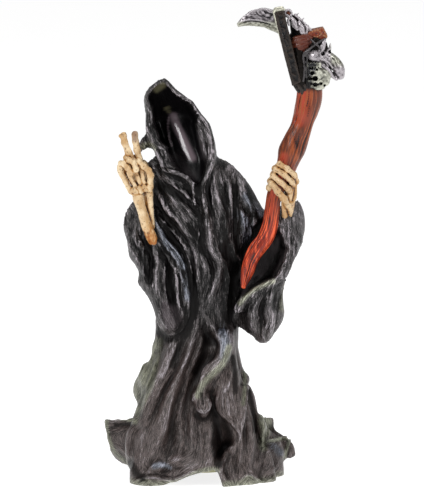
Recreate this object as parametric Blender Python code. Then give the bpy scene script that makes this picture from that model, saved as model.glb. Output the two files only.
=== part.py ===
"""Grim reaper figurine in painted cast resin, standing by its own weight.

Three pieces: the robed figure with both skeleton hands, the scythe that is pushed
down through the left fist, and the pad under the hem. +Z is up, the figure faces -Y.
"""

import math

import bmesh
import bpy
import numpy as np
from mathutils import Vector
from mathutils.bvhtree import BVHTree

# Driving sizes, in metres
FIGURE_HEIGHT = 0.300
PAD_RADIUS = 0.019
PAD_THICKNESS = 0.0022
PAD_SET_BACK = 0.0165
FIT_GAP = 0.0004

# Resolution of the solids: voxel sizes in metres, and triangles kept
ROBE_VOXEL = 0.0017
HAND_VOXEL = 0.0009
SCYTHE_VOXEL = 0.0009
ROBE_TRIANGLES = 5600
HAND_TRIANGLES = 800
SCYTHE_TRIANGLES = 1900

# The free forms are drawn on a map of the front view, in shares of the height.
# A map point is (across, up, depth): the view looks down by LOOK_DOWN, depth runs
# away from the viewer, and up is zero where the front of the hem meets the ground.
UNIT = FIGURE_HEIGHT / 480
LOOK_DOWN = math.radians(10)
FRONT_HEM = -80
SIN, COS = math.sin(LOOK_DOWN), math.cos(LOOK_DOWN)
VIEW = Vector((0, COS, -SIN))

# Rings of a standing form: height, across, depth, half width, half depth
BODY = (
    (-8, 0, -7, 72, 71),
    (4, 0, -7, 71, 70),
    (20, -1, -8, 67, 62),
    (40, -2, -8, 61, 54),
    (60, -3, -7, 57, 48),
    (82, -7, -5, 55, 45),
    (100, -9.5, -4, 49.5, 43),
    (120, -7.5, -3, 43, 40),
    (140, -6.5, -2, 41.5, 38),
    (165, -6, -2, 41, 37),
    (190, -3, -2, 40, 37),
    (215, 0, -2, 42, 37),
    (240, 2, -3, 43, 37),
    (265, 3, -6, 47, 36),
    (285, -1, -6, 47, 33),
    (300, -6, -6, 43, 30),
    (312, -10, -7, 37, 28),
    (322, -17, -8, 30, 27),
)
HOOD = (
    (300, -10, -6, 34, 30),
    (319, -16, -8, 30, 34),
    (329, -17.5, -8, 30.5, 36),
    (340, -22, -9, 33, 37),
    (355, -25.5, -10, 31.5, 36),
    (371, -32, -14, 25, 31),
    (382, -37, -20, 22, 25),
    (393, -41, -26, 13.5, 18),
    (402, -39.5, -32, 6, 9),
    (406, -38.5, -36, 1.5, 2),
)
RIGHT_SLEEVE = (
    (286, -50, -8, 12, 12),
    (270, -51.5, -9, 21.5, 15),
    (252, -52, -14, 27.5, 18),
    (237, -47.5, -18, 27.5, 20),
    (224, -45, -20, 29, 22),
    (210, -38.5, -22, 25.5, 23),
    (198, -38.5, -24, 26.5, 22),
    (184, -33.5, -27, 21.5, 19),
    (174, -31.5, -29, 18.5, 17),
    (163, -31, -31, 16, 14),
    (153, -31.5, -31, 12, 10),
    (147, -31, -31, 2, 3),
)
LEFT_SLEEVE = (
    (279, 92, -14, 4, 7),
    (267, 84, -15, 17, 16),
    (251, 73.5, -16, 28.5, 22),
    (233, 67.5, -16, 29.5, 26),
    (216, 60.5, -16, 27.5, 28),
    (199, 56.5, -16, 23.5, 28),
    (179, 57, -16, 23, 26),
    (167, 58.5, -17, 23, 24),
    (157, 60.5, -18, 19, 19),
    (147, 60.5, -18, 13, 13),
    (135, 60, -18, 5, 5),
)

# Round limbs and folds of the robe: across, up, depth, radius
ROBE_ROLLS = (
    ((-38, 307, -6, 16), (-46, 285, -8, 15), (-50, 262, -10, 16)),
    ((15, 307, -6, 21), (31, 291, -8, 19.5), (53, 265, -10, 14.5), (75, 257, -13, 16)),
    ((-6, 168, -26, 12), (-22, 128, -30, 15), (-38, 88, -38, 18), (-48, 50, -44, 20), (-51, 18, -48, 22),
     (-52, 1, -49, 22)),
    ((-22, 150, -22, 12), (-40, 105, -28, 15), (-54, 62, -32, 18), (-58, 30, -34, 20)),
    ((24, 155, -20, 10), (24, 128, -26, 10), (27, 100, -30, 14), (34, 55, -40, 19), (38, 15, -47, 19),
     (40, 0, -48, 18)),
    ((58, 30, -34, 12), (60, 4, -40, 14)),
    ((51, 60, -15, 11), (61, 34, -12, 17), (65, 14, -12, 17)),
    ((52, 58, 5, 7), (65, 44, 16, 11), (72, 34, 20, 12), (69, 24, 20, 11)),
    ((-38, 152, 5, 8), (-43, 128, 8, 7.5), (-52, 110, 10, 11), (-57, 97, 12, 14), (-55, 80, 10, 11),
     (-60, 50, 6, 16)),
    ((14, 140, -42, 6), (15, 123, -45, 8), (7, 109, -49, 8), (-3, 98, -53, 8), (0, 84, -56, 8),
     (1, 74, -56, 5)),
    ((20, 145, -36, 12), (22, 112, -42, 14), (25, 85, -48, 13), (32, 60, -54, 8), (36, 46, -56, 4)),
    ((-53, 346, -26, 7), (-59, 342, -27, 5.5), (-63, 335, -27, 2.5)),
    ((-44, 322, -20, 8), (-51, 320, -22, 6.5), (-57, 315, -22, 5)),
    ((36, 172, -18, 7), (42, 163, -18, 6), (48, 158, -18, 6)),
)

# Open flaps of the hem: rows from top to bottom of across, up, depth, thickness
LEFT_FLAP = (
    ((-62, 69, 6, 16), (-79, 65, 18, 9), (-90, 66.5, 24, 7), (-99.5, 65.5, 22, 7)),
    ((-60, 53, 0, 18), (-78, 52, 14, 10), (-89, 51, 22, 7), (-95.5, 51, 26, 7)),
    ((-56, 36, -8, 20), (-74, 36, 10, 12), (-86, 36, 20, 8), (-93, 37, 28, 6)),
    ((-52, 20, -14, 20), (-65, 19.5, 6, 14), (-77, 22.5, 20, 10), (-87, 28.5, 34, 6)),
)
RIGHT_FLAP = (
    ((46, 69, 8, 12), (61, 68, 24, 7), (72, 69.5, 32, 5)),
    ((52, 54, 12, 14), (64, 54, 26, 8), (72, 55, 34, 5)),
    ((60, 38, 12, 16), (76, 40, 24, 9), (90, 43, 28, 6)),
    ((60, 26, 12, 16), (78, 26.5, 22, 9), (94.5, 28, 26, 7)),
)
ROBE_RIMS = (
    ((-98, 65.5, 22, 3.2), (-96, 58, 24, 3.2), (-94, 46, 27, 3.2)),
    ((-39.5, 404, -42, 2.5), (-49, 397, -43, 3), (-55, 388, -41, 3), (-54, 378, -42, 2.6), (-54, 366, -42, 2.6),
     (-53.5, 354, -42, 3.2), (-49, 344, -42, 3.6), (-43, 333, -43, 4), (-38, 323, -43, 4), (-29, 315.5, -44, 3),
     (-21, 312, -44, 3), (-13, 306.5, -45, 3), (-9.5, 298, -46, 3), (-8, 286, -46, 3), (-3, 277, -45, 3),
     (2, 269, -44, 3)),
    ((5, 264, -44, 3), (3, 275, -46, 3.2), (0.5, 288, -47, 3.4), (-0.5, 300, -47, 3.4), (3, 311, -46, 4),
     (8.5, 322, -44, 4), (9, 334, -42, 3.5), (7, 348, -42, 3.2), (2.5, 361, -42, 3), (-4, 368, -42, 3),
     (-8.5, 376, -42, 3), (-13.5, 381, -42, 3), (-20, 386, -43, 2.8), (-28, 393, -43, 2.6), (-34, 401, -43, 2.6),
     (-39.5, 404, -42, 2.5)),
    ((35, 178, -38, 5), (41, 187, -41, 5), (52, 197, -43, 5), (64, 204, -43, 5), (73, 208, -42, 5),
     (81, 221, -40, 5), (86, 240, -34, 5), (84, 256, -28, 4)),
    ((-69, 283, -12, 3), (-74, 276, -14, 3), (-76.5, 263, -18, 3.5), (-72.5, 250, -20, 3), (-71, 232, -24, 3.5)),
)

# Hollows pressed in from the front: outline on the map, floor depth, softness
HOOD_OPENING = (
    (-58, 388), (-52, 379), (-50, 368), (-49, 360), (-45, 351), (-44, 345), (-37, 339), (-34, 330),
    (-28, 318), (-15, 306), (-9, 293), (-6, 281), (0, 270), (3, 276), (1, 300), (3, 320), (2, 331),
    (-1, 340), (-4, 352), (-6, 362), (-5, 369), (-11, 379), (-14, 384), (-22, 388), (-30, 394),
    (-34, 400), (-41, 404), (-48, 400), (-55, 393),
)
SLEEVE_OPENING = (
    (80, 252), (84, 238), (78, 220), (71, 208), (62, 204), (51, 198), (41, 190), (34, 180),
    (30, 185), (29, 205), (32, 225), (38, 243), (47, 262), (60, 271), (72, 264),
)
HEM_HOLLOW = (
    (9, 68), (17, 70), (25, 59), (33, 43), (30, 32), (20, 18), (11, 18), (7, 36),
)

# Folds carved on the front: path across and up on the map, reach, height or depth
FRONT_FOLDS = (
    (((-44, 304), (-37, 278), (-22, 255), (-15, 228), (-13, 195)), 7, 4),
    (((-42, 304), (-30, 281), (-15, 263), (-5, 245), (-2, 228)), 7, 3),
    (((-38, 294), (-25, 273), (-15, 256), (-10, 243)), 5, -3),
    (((-33, 308), (-15, 289), (-2, 278), (2, 268)), 7, 3),
    (((-47, 301), (-44, 283), (-42, 261), (-38, 251)), 5, 2.5),
    (((-47, 263), (-38, 243), (-28, 230), (-22, 216), (-18, 198), (-14, 174)), 6, 5),
    (((-36, 225), (-32, 205), (-28, 185), (-25, 172)), 5, -7),
    (((-55, 245), (-50, 215), (-45, 195), (-42, 180)), 6, -5),
    (((-68, 245), (-62, 225), (-58, 205), (-50, 190)), 6, -5),
    (((-46, 232), (-41, 205), (-40, 180), (-36, 165)), 9, 3),
    (((2, 268), (6, 245), (8, 231), (15, 218), (13, 205), (10, 188), (1, 177)), 8, 4),
    (((1, 177), (3, 171), (12, 159), (17, 149), (16, 135), (6, 117), (-2, 105)), 8, 5),
    (((-2, 262), (1, 245), (3, 231), (9, 218), (8, 205), (5, 188), (-4, 177)), 6, -4),
    (((-4, 174), (-2, 166), (6, 156), (11, 148), (10, 136), (1, 119), (-7, 108)), 6, -5),
    (((0, 298), (5, 274), (8, 255), (15, 236), (18, 215), (20, 195), (18, 175)), 6, 3),
    (((15, 304), (15, 281), (18, 262)), 6, 3),
    (((21, 311), (25, 286), (30, 268), (32, 240), (30, 215)), 6, 3),
    (((30, 304), (35, 278), (40, 253)), 6, 3),
    (((19, 300), (21, 275), (24, 250), (25, 225), (26, 190)), 5, -3),
    (((27, 300), (31, 275), (35, 250)), 5, -3),
    (((35, 268), (33, 245), (33, 231), (35, 211), (36, 188)), 6, 3),
    (((-23, 156), (-30, 136), (-38, 114), (-48, 91), (-56, 71), (-61, 55)), 9, 5),
    (((-4, 162), (-17, 133), (-28, 109), (-43, 84), (-50, 68), (-54, 44)), 9, 4),
    (((6, 143), (-4, 120), (-17, 101), (-23, 78), (-28, 60), (-27, 39)), 9, 4),
    (((-15, 143), (-27, 118), (-40, 95), (-52, 75), (-58, 50)), 6, -4),
    (((-2, 140), (-14, 118), (-25, 95), (-35, 70), (-40, 45), (-42, 20)), 6, -4),
    (((-36, 149), (-43, 120), (-48, 101), (-59, 78)), 6, -5),
    (((0, 95), (-8, 70), (-12, 45), (-14, 22)), 8, 4),
    (((35, 143), (41, 123), (42, 101), (38, 75), (37, 52), (38, 25)), 7, 5),
    (((52, 84), (55, 65), (56, 36), (55, 20)), 7, 4),
    (((44, 115), (47, 90), (49, 60), (48, 30)), 6, -5),
    (((70, 50), (76, 40), (80, 25)), 6, 3),
    (((-70, 62), (-74, 45), (-72, 28)), 6, 3),
    (((58, 195), (52, 180), (50, 165), (56, 150)), 8, 4),
    (((70, 205), (66, 185), (68, 168), (64, 150)), 8, 4),
    (((62, 192), (58, 178), (60, 162)), 6, -4),
    (((84, 262), (92, 245), (86, 225), (78, 205), (76, 185)), 6, 4),
)

# Folds of the back, fanned evenly: count, places at the shoulder, waist and hem
BACK_FOLDS = 5
BACK_SHOULDER, BACK_WAIST, BACK_HEM = 22, 24, 52
BACK_REACH, BACK_RISE, BACK_SINK = 10, 4, -4

# The hem lifts into an arch at the front: its feet and crown across, its height, the
# depth where it ends inside, the height where the lift has faded, and how far the
# forms reach below the ground before they are cut off flat
ARCH_LEFT, ARCH_CROWN, ARCH_RIGHT = -70, 12, 24
ARCH_HEIGHT = 16
ARCH_BACK = 2
ARCH_FADE = 50
BURIED = 8

# Carving on the solids is broader and deeper than on the map, to suit their cells
FOLD_SPREAD = 1.35
FOLD_DEPTH = 1.5

# Bones of the raised right hand: across, up, depth, radius
RIGHT_HAND = (
    ((-79.5, 349.5, -40, 3.6), (-78, 344, -40, 4.2), (-76, 338, -39, 3.4), (-73, 331, -38, 4.4), (-69, 324, -37, 4)),
    ((-67.5, 351.5, -38, 3), (-67, 346, -38, 3.8), (-66, 341, -38, 3.2), (-65, 335, -37, 4), (-62, 325, -36, 4)),
    ((-73, 328, -40, 4), (-69, 320, -46, 3.6), (-65, 314, -43, 3)),
    ((-79, 328, -39, 3.8), (-76, 321, -44, 3.8), (-70.5, 312, -42, 3)),
    ((-80, 319, -37, 4.4), (-78, 312, -36, 3)),
    ((-66, 326, -43, 3.6), (-59, 322, -43, 4.2), (-51, 314, -38, 4.4), (-52, 300, -36, 4)),
    ((-80, 318, -37, 3), (-70, 299, -37, 2.6)),
    ((-73, 322, -38, 3), (-66, 299, -38, 2.6)),
    ((-66, 322, -38, 3), (-62, 299, -38, 2.6)),
    ((-59, 322, -37, 3), (-58, 299, -37, 2.8)),
    ((-70, 299, -37, 4), (-64, 297, -38, 4.2), (-58, 298, -38, 4.4), (-53, 299, -36, 4)),
    ((-63, 294, -36, 6.2), (-60, 273, -35, 5.6), (-54, 256, -34, 5), (-46, 240, -32, 4)),
    ((-53.5, 296, -32, 3.6), (-51, 277, -31, 3.2), (-49, 258, -28, 3)),
)

# Bones of the left hand round the staff
LEFT_HAND = (
    ((71, 318, -34, 3.4), (76, 321, -43, 3.8), (84, 317, -46, 4), (91, 310, -40, 3.8), (92, 305, -33, 3.6)),
    ((69, 312, -34, 3.4), (73, 315, -43, 3.8), (81, 310, -46, 4), (89, 303, -41, 3.8), (91, 298, -33, 3.6)),
    ((66, 306, -34, 3.4), (70, 309, -42, 3.8), (78, 302, -45, 4), (86, 295, -41, 4), (89, 290, -33, 3.6)),
    ((63, 301, -36, 3.2), (67, 303, -42, 3.6), (74, 293, -45, 4.2), (82, 283, -42, 4.6), (85, 279, -36, 4.4)),
    ((91, 308, -33, 4.2), (90, 296, -31, 4.8), (87, 284, -32, 5.6), (85, 273, -30, 5.2), (83, 262, -22, 4.6)),
)

# The scythe: its staff, then the forms of its head
STAFF = (
    (97, 443, -28, 8.5), (103, 424, -28, 10.5), (106, 394, -28, 12.6), (103, 377, -29, 12.4),
    (100, 366, -29, 11.2), (97, 357, -30, 11), (92, 346, -30, 12), (88, 335, -31, 12.6),
    (84, 323, -32, 10.6), (75, 301, -33, 8.2), (70.5, 288, -34, 7.2), (68.5, 275, -34, 7.6),
    (66.5, 262, -35, 7.6), (62, 250, -35, 7.6), (53.5, 237, -36, 8), (47.5, 226, -36, 7),
    (44, 215, -36, 6), (40.5, 201, -36, 2.6),
)
BLADE = (
    ((33.5, 461, -30, 2), (38, 467, -30, 4), (44, 472, -30, 5), (52, 476, -30, 6), (60, 477, -30, 6), (72, 474, -30, 7)),
    ((34, 459, -30, 2), (40, 464, -30, 4), (48, 467, -30, 4), (56, 468, -30, 5), (64, 467, -30, 5), (74, 462, -30, 6)),
    ((35, 458, -30, 1), (42, 459, -30, 1.5), (50, 459, -30, 1.5), (58, 458, -30, 1.5), (66, 455, -30, 2), (75, 451, -30, 2)),
)
BAR = (
    ((71, 472, -38, 8), (80, 475, -38, 8)),
    ((80, 437, -38, 8), (89, 440, -38, 8)),
    ((89, 401, -38, 8), (97, 407, -38, 8)),
)
BLOCK = (
    ((111, 457, -26, 16), (119, 459, -26, 16)),
    ((107, 450, -26, 17), (122, 450, -26, 17)),
    ((103, 444, -26, 18), (124, 448, -26, 18)),
    ((110, 436, -26, 16), (118, 442, -26, 16)),
)
HEAD_ROLLS = (
    ((75, 476, -30, 5), (84, 472, -31, 7), (90, 465, -31, 5.5), (97, 458, -30, 5), (103, 450, -30, 5)),
    ((86, 455, -28, 6), (94, 444, -28, 8)),
    ((91, 447, -28, 7), (100, 440, -28, 9), (104, 432, -28, 10)),
    ((106, 428, -34, 8), (114, 428, -35, 9), (123, 427, -33, 8.5), (130, 421, -31, 7), (136, 413, -30, 5.5)),
    ((124, 428, -33, 8.5), (132, 418, -31, 7), (137, 409, -31, 5)),
    ((119, 437, -33, 4), (121, 445, -33, 1.5)),
    ((124, 434, -31, 4), (127, 442, -31, 1.2)),
    ((109, 416, -32, 8), (114, 408, -34, 10), (117, 401, -33, 7)),
    ((92, 404, -33, 4), (97, 399, -35, 5), (99, 394, -36, 3)),
)


def spots(places):
    """World points of map places, an array whose last axis starts with across, up, depth."""
    across, up, depth = places[..., 0], places[..., 1], places[..., 2]
    height = (up - (depth - FRONT_HEM) * SIN) / COS
    return np.stack([across, depth, height], axis=-1) * UNIT


def mapped(points):
    """Map places of world points."""
    across, depth, height = (points[..., k] / UNIT for k in range(3))
    return np.stack([across, height * COS + (depth - FRONT_HEM) * SIN, depth], axis=-1)


def through(knots, count):
    """Points along a smooth curve through the knots, evenly spread along its chords."""
    knots = np.asarray(knots, float)
    ends = np.vstack([2 * knots[0] - knots[1], knots, 2 * knots[-1] - knots[-2]])
    chords = np.linalg.norm(np.diff(knots[:, :3], axis=0), axis=1)
    along = np.concatenate([[0], np.cumsum(chords)])
    at = np.linspace(0, along[-1], count)
    piece = np.clip(np.searchsorted(along, at, side="right") - 1, 0, len(knots) - 2)
    t = ((at - along[piece]) / chords[piece])[:, None]
    a, b, c, d = (ends[piece + k] for k in range(4))
    bend = (2 * a - 5 * b + 4 * c - d) * t**2 + (3 * b - a - 3 * c + d) * t**3
    return 0.5 * (2 * b + (c - a) * t + bend)


def skin(bm, rings):
    """A closed skin over rings of equal count, with a flat cap on the first and the last."""
    loops = [[bm.verts.new(point) for point in ring] for ring in rings]
    count = len(loops[0])
    for lower, upper in zip(loops, loops[1:]):
        for k in range(count):
            bm.faces.new((lower[k], lower[(k + 1) % count], upper[(k + 1) % count], upper[k]))
    bm.faces.new(loops[0][::-1])
    bm.faces.new(loops[-1])


def tower(bm, rows, square=2.0, sides=40, fine=5):
    """A standing form whose level rings are given by height, across, depth and half sizes."""
    rows = through(rows, fine * len(rows))
    turn = np.linspace(0, 2 * math.pi, sides, endpoint=False)
    aside, ahead = (np.sign(way) * np.abs(way) ** (2 / square) for way in (np.cos(turn), np.sin(turn)))
    rings = []
    for height, across, depth, wide, deep in rows:
        x = across + wide * aside
        y = depth + deep * ahead
        rings.append(np.stack([x, y, np.full(sides, height)], axis=1) * UNIT)
    skin(bm, rings)


def tube(bm, path, sides=12, flat=1.0):
    """A round-ended tube along across, up, depth, radius; flat is its depth over its width."""
    span = np.linalg.norm(np.diff(np.asarray(path, float)[:, :3], axis=0), axis=1).sum()
    rows = through(path, max(6, int(span / 2)))
    centres = spots(rows)
    radii = np.maximum(rows[:, 3], 0.3) * UNIT
    along = np.gradient(centres, axis=0)
    along /= np.linalg.norm(along, axis=1)[:, None]
    across = np.cross(along, np.array(VIEW))
    across /= np.maximum(np.linalg.norm(across, axis=1), 1e-9)[:, None]
    toward = np.cross(across, along) * flat
    turn = np.linspace(0, 2 * math.pi, sides, endpoint=False)[:, None]

    def ring(k, ahead, share):
        centre = centres[k] + along[k] * ahead * radii[k]
        return centre + radii[k] * share * (np.cos(turn) * across[k] + np.sin(turn) * toward[k])

    dome = [math.radians(angle) for angle in (75, 50, 25)]
    rings = [ring(0, -math.sin(angle), math.cos(angle)) for angle in dome]
    rings += [ring(k, 0, 1) for k in range(len(rows))]
    rings += [ring(-1, math.sin(angle), math.cos(angle)) for angle in dome[::-1]]
    skin(bm, rings)


def sheet(bm, rows, fine=14):
    """A slab through rows of across, up, depth, thickness, each row given from edge to edge."""
    grid = np.array([through(row, fine) for row in rows])
    grid = np.stack([through(grid[:, k], fine) for k in range(fine)], axis=1)
    centre = spots(grid)
    normal = np.cross(np.gradient(centre, axis=0), np.gradient(centre, axis=1))
    normal /= np.linalg.norm(normal, axis=2)[..., None]
    half = normal * grid[..., 3:4] * UNIT / 2
    rings = []
    for k in range(fine):
        rings.append(np.vstack([(centre + half)[k], (centre - half)[k, ::-1]]))
    skin(bm, rings)


def mesh_of(name, build):
    """A mesh holding the closed shapes that build adds to a bmesh."""
    bm = bmesh.new()
    build(bm)
    bmesh.ops.recalc_face_normals(bm, faces=bm.faces)
    mesh = bpy.data.meshes.new(name)
    bm.to_mesh(mesh)
    bm.free()
    return mesh


def fused(mesh, voxel, rounds):
    """The mesh with its overlapping shapes made one skin of even cells, then smoothed."""
    carrier = bpy.data.objects.new("carrier", mesh)
    bpy.context.collection.objects.link(carrier)
    cells = carrier.modifiers.new("Remesh", "REMESH")
    cells.mode = "VOXEL"
    cells.voxel_size = voxel
    ease = carrier.modifiers.new("Smooth", "SMOOTH")
    ease.iterations = rounds
    graph = bpy.context.evaluated_depsgraph_get()
    made = bpy.data.meshes.new_from_object(carrier.evaluated_get(graph), depsgraph=graph)
    made.name = mesh.name
    bpy.data.objects.remove(carrier)
    bpy.data.meshes.remove(mesh)
    return made


def points_of(mesh):
    flat = np.empty(len(mesh.vertices) * 3, np.float32)
    mesh.vertices.foreach_get("co", flat)
    return flat.reshape(-1, 3).astype(float)


def normals_of(mesh):
    flat = np.empty(len(mesh.vertices) * 3, np.float32)
    mesh.vertex_normals.foreach_get("vector", flat)
    return flat.reshape(-1, 3).astype(float)


def put_points(mesh, points):
    mesh.vertices.foreach_set("co", points.astype(np.float32).ravel())
    mesh.update()


def eased(share):
    share = np.clip(share, 0, 1)
    return share * share * (3 - 2 * share)


def depth_inside(places, outline):
    """How far each place lies inside a closed outline on the map, and zero outside it."""
    x, y = places[:, 0], places[:, 1]
    inside = np.zeros(len(places), bool)
    nearest = np.full(len(places), np.inf)
    for (x0, y0), (x1, y1) in zip(outline, outline[1:] + outline[:1]):
        crosses = (y0 > y) != (y1 > y)
        where = x0 + (y - y0) * (x1 - x0) / ((y1 - y0) or 1e-9)
        inside ^= crosses & (x < where)
        run = (x1 - x0) ** 2 + (y1 - y0) ** 2
        t = np.clip(((x - x0) * (x1 - x0) + (y - y0) * (y1 - y0)) / run, 0, 1)
        nearest = np.minimum(nearest, np.hypot(x - x0 - t * (x1 - x0), y - y0 - t * (y1 - y0)))
    return np.where(inside, nearest, 0)


def press(points, outline, floor, soft):
    """Pushes the front of the form back to a floor depth inside an outline on the map."""
    places = mapped(points)
    depth = places[:, 2]
    floor = floor(places[:, 1]) if callable(floor) else floor
    share = eased(depth_inside(places, outline) / soft)
    places[:, 2] = np.where(depth < floor, depth + (floor - depth) * share, depth)
    return spots(places)


def lift_hem(points):
    """Levels the underside below the ground, and raises the hem into its arch at the front."""
    across, depth, height = (points[:, k] / UNIT for k in range(3))
    height = np.maximum(height, -BURIED)
    left = eased((across - ARCH_LEFT) / (ARCH_CROWN - ARCH_LEFT))
    right = eased((ARCH_RIGHT - across) / (ARCH_RIGHT - ARCH_CROWN))
    reach = eased((ARCH_BACK - depth) / BURIED)
    rise = (ARCH_HEIGHT + BURIED) * np.minimum(left, right) * reach
    lifted = points.copy()
    lifted[:, 2] = (height + rise * np.clip(1 - height / ARCH_FADE, 0, 1)) * UNIT
    return lifted


def hood_floor(up):
    """Depth of the hood's hollow: deep behind the face, shallow at the neck and the peak."""
    return -36 + 34 * eased((up - 285) / 50) - 36 * eased((up - 365) / 40)


def back_folds():
    """Evenly fanned folds for the back, each with a furrow beside it."""
    folds = []
    for k in range(BACK_FOLDS):
        share = 2 * k / (BACK_FOLDS - 1) - 1
        sway = 3 * math.sin(2.4 * k)
        ends = ((BACK_SHOULDER, 325), (BACK_WAIST + sway, 250), (BACK_WAIST, 185), (BACK_HEM, 40))
        path = [(share * across + sway, up) for across, up in ends]
        folds.append((path, BACK_REACH, BACK_RISE))
        beside = [(across + BACK_REACH / 2, up) for across, up in path]
        folds.append((beside, BACK_REACH, BACK_SINK))
    return folds


def even_normals(mesh, rounds=4):
    """Vertex normals averaged with those around them, so that carving doesn't roughen the skin."""
    normals = normals_of(mesh)
    ends = np.empty(len(mesh.edges) * 2, np.int32)
    mesh.edges.foreach_get("vertices", ends)
    first, second = ends.reshape(-1, 2).T
    for _ in range(rounds):
        total = normals.copy()
        for k in range(3):
            total[:, k] += np.bincount(first, normals[second, k], len(normals))
            total[:, k] += np.bincount(second, normals[first, k], len(normals))
        normals = total / np.linalg.norm(total, axis=1)[:, None]
    return normals


def carved(mesh, folds, side):
    """Raises or sinks the skin along paths drawn on the map; side is 1 for front, -1 for back."""
    points, normals = points_of(mesh), even_normals(mesh)
    faces = [tuple(face.vertices) for face in mesh.polygons]
    tree = BVHTree.FromPolygons([Vector(point) for point in points], faces)
    toward = VIEW * side
    shown = eased(0.5 - 2 * side * (normals @ np.array(VIEW)))
    moved = points.copy()
    for path, reach, rise in folds:
        reach, rise = reach * FOLD_SPREAD, rise * FOLD_DEPTH
        flat = np.asarray(path, float)
        rows = through(np.column_stack([flat, np.zeros(len(flat))]), 6 * len(flat))
        hits = []
        for across, up, _ in rows:
            start = Vector(spots(np.array([across, up, 0.0]))) - toward * FIGURE_HEIGHT
            hit = tree.ray_cast(start, toward)[0]
            if hit is not None:
                hits.append(hit)
        line = np.array(hits)
        low, high = line.min(axis=0) - reach * UNIT, line.max(axis=0) + reach * UNIT
        near = np.flatnonzero(((points > low) & (points < high)).all(axis=1))
        gaps = np.linalg.norm(points[near, None] - line[None], axis=2)
        along = gaps.argmin(axis=1) / max(len(line) - 1, 1)
        taper = eased(5 * along) * eased(5 * (1 - along))
        slope = np.clip(1 - gaps.min(axis=1) / (reach * UNIT), 0, 1) ** 1.4
        lift = rise * UNIT * slope * (0.35 + 0.65 * taper) * shown[near]
        moved[near] += normals[near] * lift[:, None]
    put_points(mesh, moved)


def robe_shapes(bm):
    for rows in (BODY, RIGHT_SLEEVE, LEFT_SLEEVE):
        tower(bm, rows)
    tower(bm, HOOD, square=3.4)
    for roll in ROBE_ROLLS + ROBE_RIMS:
        tube(bm, roll)
    sheet(bm, LEFT_FLAP)
    sheet(bm, RIGHT_FLAP)


def robe_mesh(voxel):
    """The robe as one skin, with its hollows pressed in and its hem lifted."""
    mesh = fused(mesh_of("robe", robe_shapes), voxel, 4)
    points = points_of(mesh)
    points = press(points, HOOD_OPENING, hood_floor, 7)
    points = press(points, SLEEVE_OPENING, -12, 7)
    points = press(points, HEM_HOLLOW, -26, 8)
    put_points(mesh, lift_hem(points))
    mesh = fused(mesh, voxel, 2)
    carved(mesh, FRONT_FOLDS, 1)
    carved(mesh, back_folds(), -1)
    return fused(mesh, voxel, 1)


def bones(paths):
    def build(bm):
        for path in paths:
            tube(bm, path, sides=10)

    return build


def thinned(mesh, triangles):
    """The mesh with only about this many triangles left, where its shape needs them."""
    carrier = bpy.data.objects.new("carrier", mesh)
    bpy.context.collection.objects.link(carrier)
    thin = carrier.modifiers.new("Decimate", "DECIMATE")
    thin.ratio = triangles / (2 * len(mesh.polygons))
    graph = bpy.context.evaluated_depsgraph_get()
    made = bpy.data.meshes.new_from_object(carrier.evaluated_get(graph), depsgraph=graph)
    made.name = mesh.name
    bpy.data.objects.remove(carrier)
    bpy.data.meshes.remove(mesh)
    return made


def material(name, colour, roughness, metallic=0.0):
    made = bpy.data.materials.new(name)
    made.use_nodes = True
    shader = made.node_tree.nodes["Principled BSDF"]
    shader.inputs["Base Color"].default_value = (*colour, 1)
    shader.inputs["Roughness"].default_value = roughness
    shader.inputs["Metallic"].default_value = metallic
    return made


def added(name, mesh, finish=None):
    obj = bpy.data.objects.new(name, mesh)
    bpy.context.collection.objects.link(obj)
    if finish:
        mesh.materials.clear()
        mesh.materials.append(finish)
    return obj


def helper(name, mesh):
    """An object that only cuts or joins, left out of the part."""
    obj = added(name, mesh)
    obj.hide_render = True
    obj.display_type = "WIRE"
    return obj


def combine(obj, other, operation):
    step = obj.modifiers.new(other.name, "BOOLEAN")
    step.operation = operation
    step.solver = "EXACT"
    step.object = other


def disc(radius, low, high, sides=48):
    """A build function for an upright disc, set back under the robe."""

    def build(bm):
        turn = np.linspace(0, 2 * math.pi, sides, endpoint=False)
        x, y = radius * np.cos(turn), PAD_SET_BACK + radius * np.sin(turn)
        skin(bm, [np.stack([x, y, np.full(sides, z)], axis=1) for z in (low, high)])

    return build


def ground(bm):
    """Everything under the surface that the figure stands on."""
    bmesh.ops.create_cube(bm, size=1)
    bmesh.ops.scale(bm, vec=(FIGURE_HEIGHT * 2, FIGURE_HEIGHT * 2, FIGURE_HEIGHT), verts=bm.verts)
    bmesh.ops.translate(bm, vec=(0, 0, -FIGURE_HEIGHT / 2), verts=bm.verts)


def staff_shape(gap=0.0, sides=16):
    """A build function for the staff, grown by a gap on every side."""

    def build(bm):
        tube(bm, [(a, up, d, r + gap / UNIT) for a, up, d, r in STAFF], sides=sides)

    return build


def scythe_shapes(bm):
    staff_shape()(bm)
    sheet(bm, BLADE)
    sheet(bm, BAR, fine=8)
    sheet(bm, BLOCK, fine=8)
    for roll in HEAD_ROLLS:
        tube(bm, roll)


def build_figure(finish):
    robe = added("robed_figure", thinned(robe_mesh(ROBE_VOXEL), ROBE_TRIANGLES), finish)
    for name, paths in (("right_hand", RIGHT_HAND), ("left_hand", LEFT_HAND)):
        hand = fused(mesh_of(name, bones(paths)), HAND_VOXEL, 1)
        combine(robe, helper(name, thinned(hand, HAND_TRIANGLES)), "UNION")
    combine(robe, helper("staff_room", mesh_of("staff_room", staff_shape(FIT_GAP))), "DIFFERENCE")
    combine(robe, helper("ground_room", mesh_of("ground_room", ground)), "DIFFERENCE")
    recess = disc(PAD_RADIUS + FIT_GAP, -PAD_THICKNESS, PAD_THICKNESS + FIT_GAP)
    combine(robe, helper("pad_room", mesh_of("pad_room", recess)), "DIFFERENCE")


def build_scythe(finish):
    scythe = fused(mesh_of("scythe", scythe_shapes), SCYTHE_VOXEL, 1)
    added("scythe", thinned(scythe, SCYTHE_TRIANGLES), finish)


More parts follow.
